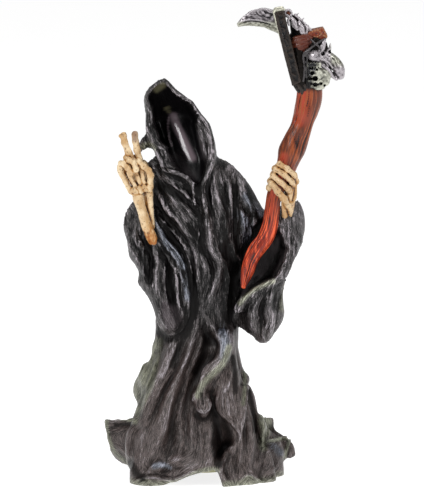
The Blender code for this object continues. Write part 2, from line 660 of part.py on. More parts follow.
def build_pad(finish):
    added("base_pad", mesh_of("base_pad", disc(PAD_RADIUS, 0, PAD_THICKNESS)), finish)


def main():
    for obj in list(bpy.data.objects):
        bpy.data.objects.remove(obj)
    build_figure(material("robe_paint", (0.035, 0.030, 0.034), 0.42))
    build_scythe(material("staff_paint", (0.34, 0.08, 0.035), 0.45))
    build_pad(material("pad_plastic", (0.62, 0.62, 0.42), 0.7))


main()
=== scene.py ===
"""Looks of the grim reaper figurine: cast resin, painted, dry-brushed and varnished.

Forms are drawn on the same map of the front view as the solids. A map point is across,
up, depth in shares of the height: the view looks down by LOOK_DOWN, depth runs away
from the viewer, and up is zero where the front of the hem meets the ground.
"""

import math

import bmesh
import bpy
import numpy as np
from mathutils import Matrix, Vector
from mathutils.bvhtree import BVHTree


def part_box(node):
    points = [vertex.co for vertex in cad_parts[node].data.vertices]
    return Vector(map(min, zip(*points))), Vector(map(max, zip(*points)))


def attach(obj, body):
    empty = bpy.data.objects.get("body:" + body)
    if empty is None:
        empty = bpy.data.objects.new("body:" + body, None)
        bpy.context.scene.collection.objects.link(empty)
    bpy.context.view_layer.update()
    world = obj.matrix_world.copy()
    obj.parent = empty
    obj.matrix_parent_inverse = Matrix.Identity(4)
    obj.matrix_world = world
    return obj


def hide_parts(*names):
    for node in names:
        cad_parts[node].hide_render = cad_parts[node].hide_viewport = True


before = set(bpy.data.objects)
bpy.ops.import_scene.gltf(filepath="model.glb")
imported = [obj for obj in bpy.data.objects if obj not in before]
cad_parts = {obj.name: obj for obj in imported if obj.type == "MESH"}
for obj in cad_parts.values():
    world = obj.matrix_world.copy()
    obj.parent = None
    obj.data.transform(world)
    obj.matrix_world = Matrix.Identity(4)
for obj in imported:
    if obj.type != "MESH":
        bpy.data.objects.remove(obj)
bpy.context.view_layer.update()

# Driving sizes, from the solids
FIGURE_HEIGHT = round(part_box("scythe")[1].z, 3)
UNIT = FIGURE_HEIGHT / 480
LOOK_DOWN = math.radians(10)
FRONT_HEM = -80
PICTURE_WIDTH, PICTURE_MIDDLE = 424, (9.0, 237.0)
SIN, COS = math.sin(LOOK_DOWN), math.cos(LOOK_DOWN)
VIEW = Vector((0, COS, -SIN))
AWAY = np.array(VIEW)
RAISED = np.array(Vector((0, SIN, COS)))

# Fineness of the meshes: cells in metres for the robe's three passes and the small
# pieces, the triangles kept on the robe, and the staff's facets and step
FIRST_VOXEL = 0.0014
ROBE_VOXEL = 0.0008
FOLD_VOXEL = max(0.0011, ROBE_VOXEL)
ROBE_TRIANGLES = 190000
FINE_VOXEL = 0.0004
STAFF_SIDES, STAFF_STEP = ((110, 0.8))

# Relief made by smooth noise, in metres
SCRATCH_RELIEF, STREAK_RELIEF = 0.00012, 0.00009
BONE_LUMPS, CARVED_LUMPS = 0.00008, 0.00005
STAFF_LUMPS, STAFF_GRAIN, STAFF_CRACKS = 0.0003, 0.00016, 0.0007

# Rings of a standing form: height, across, depth, half width, half depth
BODY = (
    (-8, 0, -7, 72, 71),
    (4, 0, -7, 71, 70),
    (20, -1, -8, 67, 62),
    (40, -2, -8, 61, 54),
    (60, -3, -7, 57, 48),
    (82, -7, -5, 55, 45),
    (100, -9.5, -4, 49.5, 43),
    (120, -7.5, -3, 43, 40),
    (140, -6.5, -2, 41.5, 38),
    (165, -6, -2, 41, 37),
    (190, -3, -2, 40, 37),
    (215, 0, -2, 42, 37),
    (240, 2, -3, 43, 37),
    (265, 3, -6, 47, 36),
    (285, -1, -6, 47, 33),
    (300, -6, -6, 43, 30),
    (312, -10, -7, 37, 28),
    (322, -17, -8, 30, 27),
)
HOOD = (
    (300, -10, -6, 34, 30),
    (319, -16, -8, 30, 34),
    (329, -17.5, -8, 30.5, 36),
    (340, -22, -9, 33, 37),
    (355, -25.5, -10, 31.5, 36),
    (371, -32, -14, 25, 31),
    (382, -37, -20, 22, 25),
    (393, -41, -26, 13.5, 18),
    (402, -39.5, -32, 6, 9),
    (406, -38.5, -36, 1.5, 2),
)
RIGHT_SLEEVE = (
    (286, -50, -8, 12, 12),
    (270, -51.5, -9, 21.5, 15),
    (252, -52, -14, 27.5, 18),
    (237, -47.5, -18, 27.5, 20),
    (224, -45, -20, 29, 22),
    (210, -38.5, -22, 25.5, 23),
    (198, -38.5, -24, 26.5, 22),
    (184, -33.5, -27, 21.5, 19),
    (174, -31.5, -29, 18.5, 17),
    (163, -31, -31, 16, 14),
    (153, -31.5, -31, 12, 10),
    (147, -31, -31, 2, 3),
)
LEFT_SLEEVE = (
    (279, 92, -14, 4, 7),
    (267, 84, -15, 17, 16),
    (251, 73.5, -16, 28.5, 22),
    (233, 67.5, -16, 29.5, 26),
    (216, 60.5, -16, 27.5, 28),
    (199, 56.5, -16, 23.5, 28),
    (179, 57, -16, 23, 26),
    (167, 58.5, -17, 23, 24),
    (157, 60.5, -18, 19, 19),
    (147, 60.5, -18, 13, 13),
    (135, 60, -18, 5, 5),
)

# Round limbs and folds of the robe: across, up, depth, radius
ROBE_ROLLS = (
    ((-38, 307, -6, 16), (-46, 285, -8, 15), (-50, 262, -10, 16)),
    ((15, 307, -6, 21), (31, 291, -8, 19.5), (53, 265, -10, 14.5), (75, 257, -13, 16)),
    ((-6, 168, -26, 12), (-22, 128, -30, 15), (-38, 88, -38, 18), (-48, 50, -44, 20),
     (-51, 18, -48, 22), (-52, 1, -49, 22)),
    ((-22, 150, -22, 12), (-40, 105, -28, 15), (-54, 62, -32, 18), (-58, 30, -34, 20)),
    ((24, 155, -20, 10), (24, 128, -26, 10), (27, 100, -30, 14), (34, 55, -40, 19), (38, 15, -47, 19),
     (40, 0, -48, 18)),
    ((58, 30, -34, 12), (60, 4, -40, 14)),
    ((51, 60, -15, 11), (61, 34, -12, 17), (65, 14, -12, 17)),
    ((52, 58, 5, 7), (65, 44, 16, 11), (72, 34, 20, 12), (69, 24, 20, 11)),
    ((-38, 152, 5, 8), (-43, 128, 8, 7.5), (-52, 110, 10, 11), (-57, 97, 12, 14), (-55, 80, 10, 11),
     (-60, 50, 6, 16)),
    ((14, 140, -42, 6), (15, 123, -45, 8), (7, 109, -49, 8), (-3, 98, -53, 8), (0, 84, -56, 8),
     (1, 74, -56, 5)),
    ((20, 145, -36, 12), (22, 112, -42, 14), (25, 85, -48, 13), (32, 60, -54, 8), (36, 46, -56, 4)),
    ((-53, 346, -26, 7), (-59, 342, -27, 5.5), (-63, 335, -27, 2.5)),
    ((-44, 322, -20, 8), (-51, 320, -22, 6.5), (-57, 315, -22, 5)),
    ((36, 172, -18, 7), (42, 163, -18, 6), (48, 158, -18, 6)),
)

# Open flaps of the hem: rows from top to bottom of across, up, depth, thickness
LEFT_FLAP = (
    ((-62, 69, 6, 16), (-79, 65, 18, 9), (-90, 66.5, 24, 7), (-99.5, 65.5, 22, 7)),
    ((-60, 53, 0, 18), (-78, 52, 14, 10), (-89, 51, 22, 7), (-95.5, 51, 26, 7)),
    ((-56, 36, -8, 20), (-74, 36, 10, 12), (-86, 36, 20, 8), (-93, 37, 28, 6)),
    ((-52, 20, -14, 20), (-65, 19.5, 6, 14), (-77, 22.5, 20, 10), (-87, 28.5, 34, 6)),
)
RIGHT_FLAP = (
    ((46, 69, 8, 12), (61, 68, 24, 7), (72, 69.5, 32, 5)),
    ((52, 54, 12, 14), (64, 54, 26, 8), (72, 55, 34, 5)),
    ((60, 38, 12, 16), (76, 40, 24, 9), (90, 43, 28, 6)),
    ((60, 26, 12, 16), (78, 26.5, 22, 9), (94.5, 28, 26, 7)),
)
ROBE_RIMS = (
    ((-98, 65.5, 22, 3.2), (-96, 58, 24, 3.2), (-94, 46, 27, 3.2)),
    ((-39.5, 404, -42, 2.5), (-49, 397, -43, 3), (-55, 388, -41, 3), (-54, 378, -42, 2.6),
     (-54, 366, -42, 2.6), (-53.5, 354, -42, 3.2), (-49, 344, -42, 3.6), (-43, 333, -43, 4),
     (-38, 323, -43, 4), (-29, 315.5, -44, 3), (-21, 312, -44, 3), (-13, 306.5, -45, 3),
     (-9.5, 298, -46, 3), (-8, 286, -46, 3), (-3, 277, -45, 3), (2, 269, -44, 3)),
    ((5, 264, -44, 3), (3, 275, -46, 3.2), (0.5, 288, -47, 3.4), (-0.5, 300, -47, 3.4),
     (3, 311, -46, 4), (8.5, 322, -44, 4), (9, 334, -42, 3.5), (7, 348, -42, 3.2), (2.5, 361, -42, 3),
     (-4, 368, -42, 3), (-8.5, 376, -42, 3), (-13.5, 381, -42, 3), (-20, 386, -43, 2.8),
     (-28, 393, -43, 2.6), (-34, 401, -43, 2.6), (-39.5, 404, -42, 2.5)),
    ((35, 178, -38, 5), (41, 187, -41, 5), (52, 197, -43, 5), (64, 204, -43, 5), (73, 208, -42, 5),
     (81, 221, -40, 5), (86, 240, -34, 5), (84, 256, -28, 4)),
    ((-69, 283, -12, 3), (-74, 276, -14, 3), (-76.5, 263, -18, 3.5), (-72.5, 250, -20, 3),
     (-71, 232, -24, 3.5)),
)

# The hood's side wall behind its rim: across, up, radius, laid at each of the depths
HOOD_WALL = (
    (3, 359, 4.5), (-4.5, 369, 4.5), (-10.5, 377.5, 4.5), (-18, 384.5, 4.5), (-28, 391.5, 4), (-36, 399, 4),
)
HOOD_WALL_DEPTHS = (-38, -32, -26, -20, -14)

# Hollows pressed in from the front: outline on the map, floor depth, softness
HOOD_OPENING = (
    (-55.5, 388), (-51.5, 380), (-50, 368), (-49, 360), (-45, 351), (-44, 345), (-37, 339), (-34, 330),
    (-28, 318), (-15, 306), (-9, 293), (-6, 281), (0, 270), (3, 276), (1, 300), (3, 320), (2, 331),
    (-1, 340), (-4, 352), (-6, 362), (-5, 369), (-11, 379), (-14, 384), (-22, 388), (-30, 394),
    (-34, 400), (-41, 403.5), (-47.5, 399.5), (-53, 393),
)
SLEEVE_OPENING = (
    (80, 252), (84, 238), (78, 220), (71, 208), (62, 204), (51, 198), (41, 190), (34, 180),
    (30, 185), (29, 205), (32, 225), (38, 243), (47, 262), (60, 271), (72, 264),
)
HEM_HOLLOW = (
    (9, 68), (17, 70), (25, 59), (33, 43), (30, 32), (20, 18), (11, 18), (7, 36),
)

# Broad folds of the front: path across and up on the map, reach, height, and the side
# of its furrow seen along the path (1 left of a falling line on the map is the viewer's
# right, -1 the other, 0 none)
BROAD_FOLDS = (
    (((-47, 304), (-37, 283), (-25, 268), (-15, 254), (-2, 246)), 8, 4, -1),
    (((-37, 301), (-25, 286), (-10, 273), (0, 261)), 6, 3, 1),
    (((-48, 263), (-38, 246), (-28, 235), (-20, 221), (-16, 206), (-14, 174)), 7, 6, 1),
    (((-2, 286), (2, 273), (6, 254), (7, 241), (15, 225), (14, 211), (8, 196), (2, 177)), 8, 5, -1),
    (((2, 177), (9, 159), (16, 149), (19, 141), (16, 130), (6, 117), (-2, 104), (-6, 91)), 8, 6.5, -1),
    (((11, 304), (14, 289), (20, 274), (23, 261), (26, 240)), 8, 4, 1),
    (((36, 311), (40, 296), (48, 281), (56, 274)), 7, 4, -1),
    (((31, 253), (31, 236), (36, 225), (38, 206), (38, 188)), 6, 3, -1),
    (((-5, 251), (-2, 231), (6, 213), (2, 195)), 7, 3, 0),
    (((-68, 261), (-66, 246), (-58, 233), (-57, 216), (-53, 201)), 6, 4, 1),
    (((-73, 251), (-71, 240), (-64, 226), (-60, 213)), 5, 3, 1),
    (((-50, 240), (-46, 225), (-46, 206), (-42, 186)), 6, 4, 1),
    (((-58, 243), (-53, 228), (-53, 211), (-50, 200)), 5, -6, 0),
    (((-40, 236), (-34, 220), (-33, 203), (-30, 184), (-27, 172)), 6, -9, 0),
    (((-22, 156), (-30, 143), (-36, 123), (-43, 107), (-50, 92), (-56, 79), (-62, 66)), 9, 6.5, 1),
    (((-4, 169), (-10, 149), (-17, 130), (-25, 110), (-32, 91), (-37, 71), (-41, 52),
      (-49, 36)), 10, 6.5, 1),
    (((3, 162), (-2, 143), (-10, 123), (-17, 104), (-22, 84), (-25, 63), (-27, 44)), 9, 5.2, 1),
    (((-9, 101), (-12, 81), (-12, 62), (-10, 42)), 7, 3.2, 1),
    (((-46, 149), (-53, 130), (-59, 112), (-64, 94)), 7, 5.2, 1),
    (((37, 149), (40, 125), (41, 107), (40, 91), (38, 73), (36, 53), (37, 30)), 7, 6.5, 1),
    (((44, 107), (50, 89), (55, 73), (58, 57), (57, 36)), 7, 5.2, -1),
    (((34, 44), (24, 34), (18, 21), (20, 13)), 6, 5.2, -1),
    (((22, 169), (24, 156), (22, 140), (20, 127), (11, 117), (1, 105), (-2, 92)), 7, 3.9, 0),
    (((70, 50), (76, 40), (80, 25)), 6, 3.9, 0),
    (((-70, 62), (-74, 45), (-72, 28)), 6, 3.9, 0),
    (((58, 195), (52, 180), (50, 165), (56, 150)), 8, 4, 1),
    (((70, 205), (66, 185), (68, 168), (64, 150)), 8, 4, 1),
    (((84, 262), (92, 245), (86, 225), (78, 205), (76, 185)), 6, 4, 0),
    (((-54, 14), (-45, 21), (-30, 26), (-17, 31)), 7, 3.9, 0),
)

# Fine folds and creases, in the same form
FINE_FOLDS = (
    (((-8, 98), (-7, 86), (-2, 77), (4, 78), (8, 88)), 2.6, 3.5, 0),
    (((34, 178), (41, 187), (52, 197), (64, 204), (73, 208), (81, 221), (86, 240)), 3.5, 1, 0),
    (((-43, 242), (-30, 222), (-19, 204), (-14.6, 176), (-18, 162), (-26, 154), (-36, 155),
      (-44, 164)), 3, 2, 0),
    (((-45, 298), (-38, 281), (-27, 266)), 3.5, 2, 1),
    (((-42, 304), (-34, 292), (-22, 276), (-13, 262)), 3, 1.6, 1),
    (((-33, 308), (-22, 297), (-12, 288), (-6, 277)), 3.5, 2, 1),
    (((-25, 304), (-17, 296), (-12, 288)), 3, 1.5, 0),
    (((-45, 278), (-42, 268), (-28, 254), (-18, 241), (-13, 225), (-11, 206), (-10, 188)), 3, 2.4, 1),
    (((-50, 280), (-46, 262), (-38, 252)), 3, 1.6, 1),
    (((-44, 250), (-35, 238), (-26, 226), (-22, 210), (-22, 192)), 3, 1.8, 0),
    (((-50, 256), (-42, 240), (-33, 228), (-28, 214)), 3, 1.5, 1),
    (((18, 311), (20, 294), (25, 278), (27, 262)), 3, 2, 1),
    (((25, 312), (27, 296), (28, 278), (30, 264)), 3, 2, 1),
    (((33, 309), (33, 286), (32, 261), (33, 240)), 3, -3, 0),
    (((8, 300), (10, 284), (14, 268), (18, 250)), 3, 1.6, 0),
    (((38, 281), (40, 266), (41, 250)), 3, 2, -1),
    (((46, 279), (44, 264), (46, 251), (41, 240)), 3, 1.8, 0),
    (((56, 271), (48, 259), (43, 246)), 3, 1.6, 0),
    (((36, 268), (35, 250), (36, 232)), 2.5, -2, 0),
    (((-15, 251), (-8, 235), (-5, 215), (-8, 195)), 3.5, 1.8, 1),
    (((11, 251), (15, 236), (23, 218), (25, 196)), 3.5, 2, 0),
    (((21, 228), (25, 206), (23, 188), (24, 165)), 3.5, 1.8, 1),
    (((30, 220), (31, 200), (30, 176)), 3.5, -3, 0),
    (((-1, 262), (-6, 246), (-4, 228)), 3, 1.4, 0),
    (((4, 232), (9, 218), (8, 205), (4, 190)), 3, -2.6, 0),
    (((-78, 262), (-74, 250), (-72, 236)), 3, 1.6, 0),
    (((-64, 252), (-60, 238), (-60, 222), (-57, 206)), 3, 1.6, 1),
    (((-55, 236), (-50, 220), (-50, 206), (-46, 190)), 3, 1.6, 0),
    (((-40, 232), (-39, 214), (-38, 196), (-34, 180)), 3, 2, 1),
    (((-27, 222), (-26, 204), (-25, 188), (-20, 172)), 3, 2, 1),
    (((-45, 182), (-40, 166), (-34, 157)), 3, 1.4, 0),
    (((-17, 153), (-23, 135), (-30, 118), (-38, 105), (-45, 92)), 4, 1.2, 1),
    (((-24, 150), (-30, 134), (-37, 117), (-45, 103)), 3, 1, 1),
    (((-12, 140), (-20, 122), (-29, 104), (-37, 88), (-43, 70)), 4, 1, 1),
    (((-6, 124), (-14, 106), (-20, 88), (-26, 68), (-30, 50)), 4, 0.9, 1),
    (((0, 112), (-6, 96), (-10, 80), (-14, 60)), 3.5, 0.8, 0),
    (((-48, 86), (-56, 68), (-60, 50), (-62, 34)), 4, 1.1, 1),
    (((-40, 64), (-47, 44), (-54, 28)), 4, 0.9, 0),
    (((-20, 60), (-22, 42), (-26, 30)), 4, 0.9, 0),
    (((-4, 66), (-2, 46), (-4, 30)), 3.5, 0.9, 1),
    (((-43, 143), (-48, 123), (-54, 104), (-59, 84)), 3.5, 1, 1),
    (((-50, 128), (-57, 108), (-62, 92)), 3, 0.8, 0),
    (((-41, 150), (-44, 130), (-50, 112)), 3, 0.8, 0),
    (((28, 168), (29, 150), (26, 134), (18, 121), (9, 111)), 3.5, 1.8, 0),
    (((14, 150), (20, 160), (20, 172)), 3, 0.8, 0),
    (((12, 134), (13, 142), (10, 150)), 3, -1.1, 0),
    (((30, 123), (27, 107), (22, 94), (19, 84)), 3, 1.1, 1),
    (((25, 107), (29, 91), (32, 76), (36, 62)), 3, 1.1, -1),
    (((20, 100), (19, 86), (22, 76)), 3, 0.9, 1),
    (((16, 101), (14, 84), (17, 75), (30, 63), (37, 52), (33, 44)), 3.5, 1.4, -1),
    (((6, 100), (3, 90), (4, 80)), 2.5, -1.3, 0),
    (((12, 98), (9, 88), (6, 78)), 2.5, 0.9, 0),
    (((34, 140), (36, 120), (36, 100)), 3, 0.9, 0),
    (((46, 97), (49, 81), (52, 65), (52, 44)), 3, -1.3, 0),
    (((43, 92), (45, 74), (46, 56), (44, 36)), 3, 1, 0),
    (((50, 62), (50, 40), (46, 20)), 3.5, 1, 1),
    (((38, 55), (38, 36), (35, 16)), 3.5, 1.1, -1),
    (((28, 34), (27, 22), (30, 12)), 3, 1, 0),
    (((56, 60), (60, 44), (58, 28), (54, 14)), 3.5, 1.1, 1),
    (((62, 66), (66, 54), (62, 42)), 3, 1, 0),
    (((-72, 5), (-58, 10.5), (-37, 8.5), (-28, 8), (-8, 17.5)), 2.6, 2.2, 1),
    (((-58, 11.5), (-48, 23), (-38, 22.5), (-28, 17.5)), 4.5, 1.5, 1),
    (((37.5, 7), (45.7, 12.7), (54, 8), (61, 4.5), (77, 11.5)), 2.6, 2.4, 0),
    (((62, 45.3), (74, 47), (86.5, 47), (84, 37), (82, 26.7)), 2.4, 2.4, 0),
    (((24, 30), (22, 18), (28, 6)), 3.5, -2.5, 0),
    (((-56, 20), (-46, 15), (-32, 17), (-18, 22)), 3, -1.1, 0),
    (((-66, 34), (-69, 22), (-73, 12)), 3.5, 1.1, 0),
    (((40, 20), (48, 16), (56, 8)), 3, 1.1, 0),
    (((24, 24), (22, 12), (26, 6)), 3, 0.9, 0),
    (((-92, 64), (-80, 66), (-68, 67)), 3.5, 2, 0),
    (((-90, 58), (-80, 60), (-70, 62)), 3.5, -1.1, 0),
    (((-88, 40), (-78, 34), (-68, 28)), 3.5, 1, 0),
    (((63, 68), (60, 52), (58, 42)), 3.5, 1.2, 0),
    (((72, 60), (78, 48), (72, 40), (62, 38)), 3.5, 1.3, 0),
    (((86, 40), (88, 30), (84, 20)), 3.5, 1.1, 0),
    (((76, 32), (74, 22), (66, 14)), 3.5, 1, 0),
    (((62, 192), (58, 178), (60, 162)), 3.5, -2.4, 0),
    (((52, 190), (46, 178), (46, 166)), 3, 1.6, 0),
    (((75, 200), (72, 180), (70, 162), (66, 148)), 3, 1.6, 1),
    (((66, 165), (60, 155), (62, 146)), 3, 1.8, 0),
    (((96, 256), (98, 240), (90, 222), (84, 204)), 3, 1.8, 0),
    (((88, 262), (86, 246), (90, 232)), 3, 1.4, 0),
    (((-35, 404), (-30, 395), (-19, 387), (-12, 384), (-7, 376), (-2, 369), (5, 360),
      (10, 349)), 2.2, 1.6, -1),
    (((-34, 358), (-34, 348), (-31, 338)), 2.5, 2, 0),
    (((13, 335), (10, 324), (3, 310), (-1, 300), (1, 287), (3, 275), (5, 264)), 3, 2, 0),
    (((12, 320), (8, 306), (6, 294), (8, 280)), 2.5, -2.2, 0),
    (((3, 355), (8, 345), (8, 332), (4, 322)), 3, 1.8, 0),
    (((-1, 350), (3, 340), (4, 328)), 2.5, -1.6, 0),
    (((-49, 345), (-46, 334), (-42, 325), (-38, 317), (-30, 315), (-21, 312), (-13, 307), (-9, 299),
      (-8, 286), (-4, 277), (2, 270)), 2.5, 2, 1),
    (((-47, 340), (-40, 337), (-36, 330), (-38, 324)), 2.5, 1.8, 0),
    (((-44, 336), (-41, 330), (-39, 327)), 2, -1.8, 0),
    (((-57, 381), (-52, 373), (-52, 364), (-55, 357), (-51, 349)), 2.2, 1.6, 0),
    (((-54, 378), (-56, 366), (-53, 356)), 1.8, -1.6, 0),
    (((-40, 316), (-30, 309), (-20, 305), (-14, 298)), 3, -2.2, 0),
    (((-52, 322), (-44, 314), (-40, 306)), 3, 1.8, 0),
    (((-46, 312), (-36, 306), (-26, 300), (-18, 292)), 3, 1.6, 0),
)

# Folds of the back, fanned evenly: count, places at the shoulder, waist and hem
BACK_FOLDS = 5
BACK_SHOULDER, BACK_WAIST, BACK_HEM = 22, 24, 52
BACK_REACH, BACK_RISE = 11, 5

# The hem's arch at the front, as in the solids
ARCH_LEFT, ARCH_CROWN, ARCH_RIGHT = -70, 12, 24
ARCH_HEIGHT = 16
ARCH_BACK = 2
ARCH_FADE = 50
BURIED = 8
WALL = 3

# Areas of paint on the map
OLIVE_BACK = (
    (-50, 152), (-36, 152), (-42, 122), (-47, 101), (-58, 78), (-64, 64), (-76, 76), (-74, 105), (-60, 135),
)
SKIRT_TOP, SKIRT_BLEND = 185, 80
# Height in metres below which the hem's lowest edge takes an olive painted highlight
HEM_HIGHLIGHT_HEIGHT = 0.0035
OLIVE_MARKS = (
    (((-97, 68), (-90, 70), (-78, 68), (-68, 66)), 4),
    (((-97, 66), (-97, 56), (-94, 44), (-88, 32), (-74, 22)), 3),
    (((-72, 3), (-60, 6), (-43, 4), (-24, 6), (-8, 14), (4, 18), (14, 18)), 3.5),
    (((38, 5), (46, 10), (54, 5), (62, 2), (76, 9)), 3),
    (((24, 4), (36, 3), (50, 5), (60, 6)), 4),
    (((60, 70), (66, 62), (60, 48), (60, 40)), 5),
    (((62, 45), (76, 47), (86, 46), (84, 36), (82, 28)), 2.4),
    (((58, 66), (61, 54), (60, 44)), 4),
    (((26, 140), (20, 124), (8, 112), (-1, 102), (-5, 92)), 4),
    (((41, 126), (42, 104), (40, 84)), 2.5),
    (((37, 184), (46, 194), (58, 201), (70, 206)), 3),
    (((100, 232), (94, 215), (84, 198), (80, 180)), 5),
    (((-59, 340), (-54, 341), (-50, 338)), 4),
)
# Bluish grey marks, a little lighter: partly the paint's cool tone, partly painted highlights
BLUE_AND_HIGHLIGHT_MARKS = (
    (((-48, 263), (-38, 246), (-28, 234), (-20, 221), (-17, 206), (-15, 190)), 5),
    (((67, 43), (72, 39), (77, 34)), 5),
    (((-48, 22), (-41, 23), (-34, 20)), 4),
    (((36, 270), (44, 262), (44, 248)), 7),
    (((44, 290), (54, 276), (62, 272)), 6),
    (((18, 160), (22, 145), (22, 130)), 6),
)
# Pale mauve marks that raise the dry-brushed level: partly dry-brush accents, partly painted highlights
# where folds and the hood's rim catch the light
PALE_AND_HIGHLIGHT_MARKS = (
    (((26, 318), (38, 310), (48, 300)), 6),
    (((14, 316), (22, 304), (26, 290)), 5),
    (((52, 284), (60, 276), (68, 268)), 5),
    (((44, 142), (46, 122), (52, 102)), 6),
    (((58, 92), (62, 78), (66, 66)), 5),
    (((28, 150), (27, 134), (20, 122), (12, 112)), 4),
    (((-50, 140), (-55, 122), (-60, 106)), 5),
    (((12, 304), (14, 290), (18, 276)), 5),
    (((-30, 285), (-22, 275), (-16, 268)), 5),
    (((-30, 150), (-28, 138), (-33, 126), (-40, 112)), 6),
    (((-20, 148), (-26, 132), (-33, 120)), 5),
    (((-1, 354), (2, 344), (4, 334)), 3),
    (((-45, 352), (-46, 346), (-42, 340)), 3),
    (((20, 156), (22, 144), (18, 128), (8, 114)), 5),
    (((-14, 210), (-14, 196), (-16, 186)), 4),
    (((24, 100), (26, 90), (28, 76)), 5),
    (((-26, 30), (-34, 28), (-42, 24)), 5),
    (((8, 256), (6, 244), (12, 230)), 3),
    (((27, 305), (28, 288), (30, 270)), 2.5),
    (((38, 296), (42, 286), (50, 278)), 4),
)
# Painted shade: near-black strokes where shade falls, in creases between folds, beside the hanging end of
# the right sleeve and by the hood's right rim
PAINTED_SHADE_MARKS = (
    (((-7, 72), (0, 68), (7, 72), (11, 80)), 2.6),
    (((-1, 94), (0, 84)), 1.5),
    (((-88, 61), (-80, 62), (-73, 62)), 2.2),
    (((-16, 214), (-10, 196), (-9, 180), (-15, 163), (-22, 152)), 5),
    (((-46, 156), (-36, 148), (-26, 148)), 3.5),
    (((44, 300), (50, 280), (58, 262)), 2.5),
    (((20, 240), (26, 222), (27, 200), (26, 180), (24, 168)), 5),
    (((-52, 250), (-54, 236), (-50, 222)), 4),
    (((-14, 262), (-6, 248), (-2, 236)), 3),
    (((-36, 262), (-28, 248), (-22, 238)), 3),
    (((30, 130), (32, 112), (32, 96)), 3),
    (((6, 362), (9.5, 350), (10.5, 338)), 1.6),
    (((1, 318), (-2, 306), (-3, 294)), 3),
    (((-44, 300), (-34, 296), (-22, 290)), 5),
    (((-40, 236), (-34, 220), (-33, 203), (-30, 184)), 5),
    (((22, 300), (22, 270), (24, 240), (28, 215)), 4),
    (((32, 300), (33, 270), (33, 240), (30, 205)), 3.5),
    (((-60, 240), (-58, 222), (-54, 206)), 4),
    (((12, 72), (14, 58), (12, 40), (16, 24)), 5),
    (((20, 66), (26, 54), (22, 40)), 4),
    (((-72, 24), (-66, 14), (-60, 10)), 4),
    (((46, 96), (50, 76), (52, 56)), 2.5),
    (((-28, 178), (-24, 160), (-26, 150)), 4),
    (((-12, 176), (-14, 160), (-22, 144), (-30, 122)), 4),
    (((4, 150), (0, 132), (-8, 116)), 4),
)
# A painted reflection: a pale mauve streak down the fold inside the hood's glossy black, where the key
# light's reflection falls
HOOD_PAINTED_REFLECTION = (
    (((-34, 369), (-35, 358), (-33.5, 348), (-31, 341)), 1.3),
    (((-29.5, 370), (-26, 360), (-20.5, 349), (-15.5, 338), (-11, 329)), 4.6),
)
# Painted sheen: dim grey highlights on the dark cloth inside the hood and inside the sleeve's opening on
# the viewer's right
HOOD_PAINTED_SHEEN = (
    (((-29, 328), (-20, 318), (-12, 310)), 7),
    (((-3, 352), (-1, 342), (1, 330)), 4),
)
SLEEVE_PAINTED_SHEEN = (
    (((76, 250), (72, 236), (66, 224), (58, 212)), 2.5),
    (((66, 262), (62, 246), (56, 232)), 2.2),
    (((79, 236), (76, 224), (70, 214)), 1.8),
    (((50, 214), (46, 204), (40, 194)), 2.2),
    (((60, 230), (54, 218), (48, 208)), 1.6),
)
HOOD_OLIVE = (
    (((-39, 383), (-34, 375)), 2.4),
    (((-46, 396), (-40, 400)), 3.5),
)
LINING = ((-44, 190), (-34, 188), (-22, 182), (-18, 166), (-26, 156), (-38, 156), (-44, 170))

# Fingers as chains of joints: across, up, depth, with the bones' radius
RIGHT_FINGERS = (
    (((-79, 350, -41), (-77.8, 344, -41), (-74, 334, -39), (-70, 327, -37)), 3.9),
    (((-67.7, 352, -39), (-67.2, 345, -39), (-65.4, 336, -38), (-63, 327, -37)), 3.7),
    (((-76.4, 328.7, -40), (-73, 326, -45), (-68.2, 323.5, -47), (-66.4, 317, -46)), 3.2),
    (((-81.4, 323, -39), (-78.5, 323, -44), (-74.7, 318.4, -46), (-71, 313, -45)), 3.2),
    (((-52.5, 300, -38), (-52, 311, -41), (-54, 316, -42), (-58.5, 320, -44), (-64, 324.4, -44)), 3.6),
)
RIGHT_PALM = (
    ((-81.6, 350.2, -41, 2.2), (-78, 352.4, -41, 2.2)),
    ((-82, 320, -37, 3.6), (-81.4, 314, -37, 3.4), (-79, 309.7, -37, 3), (-74.7, 301, -37, 2.8),
     (-71.5, 295, -37, 3)),
    ((-74, 315, -40, 2.0), (-73, 310.8, -41, 2.0), (-70, 305, -41, 1.8), (-67.2, 300.5, -39, 2.2)),
    ((-67, 318, -40, 2.2), (-66, 313, -41, 2.1), (-64, 307, -41, 1.9), (-61.7, 302, -39, 2.3)),
    ((-61, 319, -40, 2.2), (-60.6, 314, -41, 2.0), (-59.6, 308, -41, 1.8), (-58.4, 302.5, -39, 2.2)),
    ((-68.5, 296.4, -40, 3.0), (-66.5, 295.4, -40.5, 3.0)),
    ((-63.2, 298.6, -41, 2.5), (-61.6, 295, -40, 2.7)),
    ((-58.4, 299.6, -41, 2.5), (-57, 297, -40, 2.6)),
    ((-53.8, 299.4, -40, 3.0), (-53, 297, -38, 3.2)),
    ((-74, 321, -32, 7), (-68, 311, -30, 8), (-63, 301, -31, 8)),
    ((-60, 321, -33, 6), (-57.5, 312, -32, 5.4), (-56, 303, -32, 5)),
    ((-56, 292, -30, 3.6), (-54, 272, -29, 4.6), (-50, 250, -27, 5)),
    ((-66, 292, -37, 4.8), (-64.6, 289, -37, 5.6), (-61.2, 278, -37, 5.0), (-56.3, 262, -36, 5.3),
     (-50.4, 248, -34, 5.3), (-47, 242, -32, 4.4)),
    ((-53.4, 295, -34, 3.6), (-52.8, 290, -34, 3.4), (-52.2, 280, -33, 2.9), (-51.2, 264, -31, 3.3)),
)
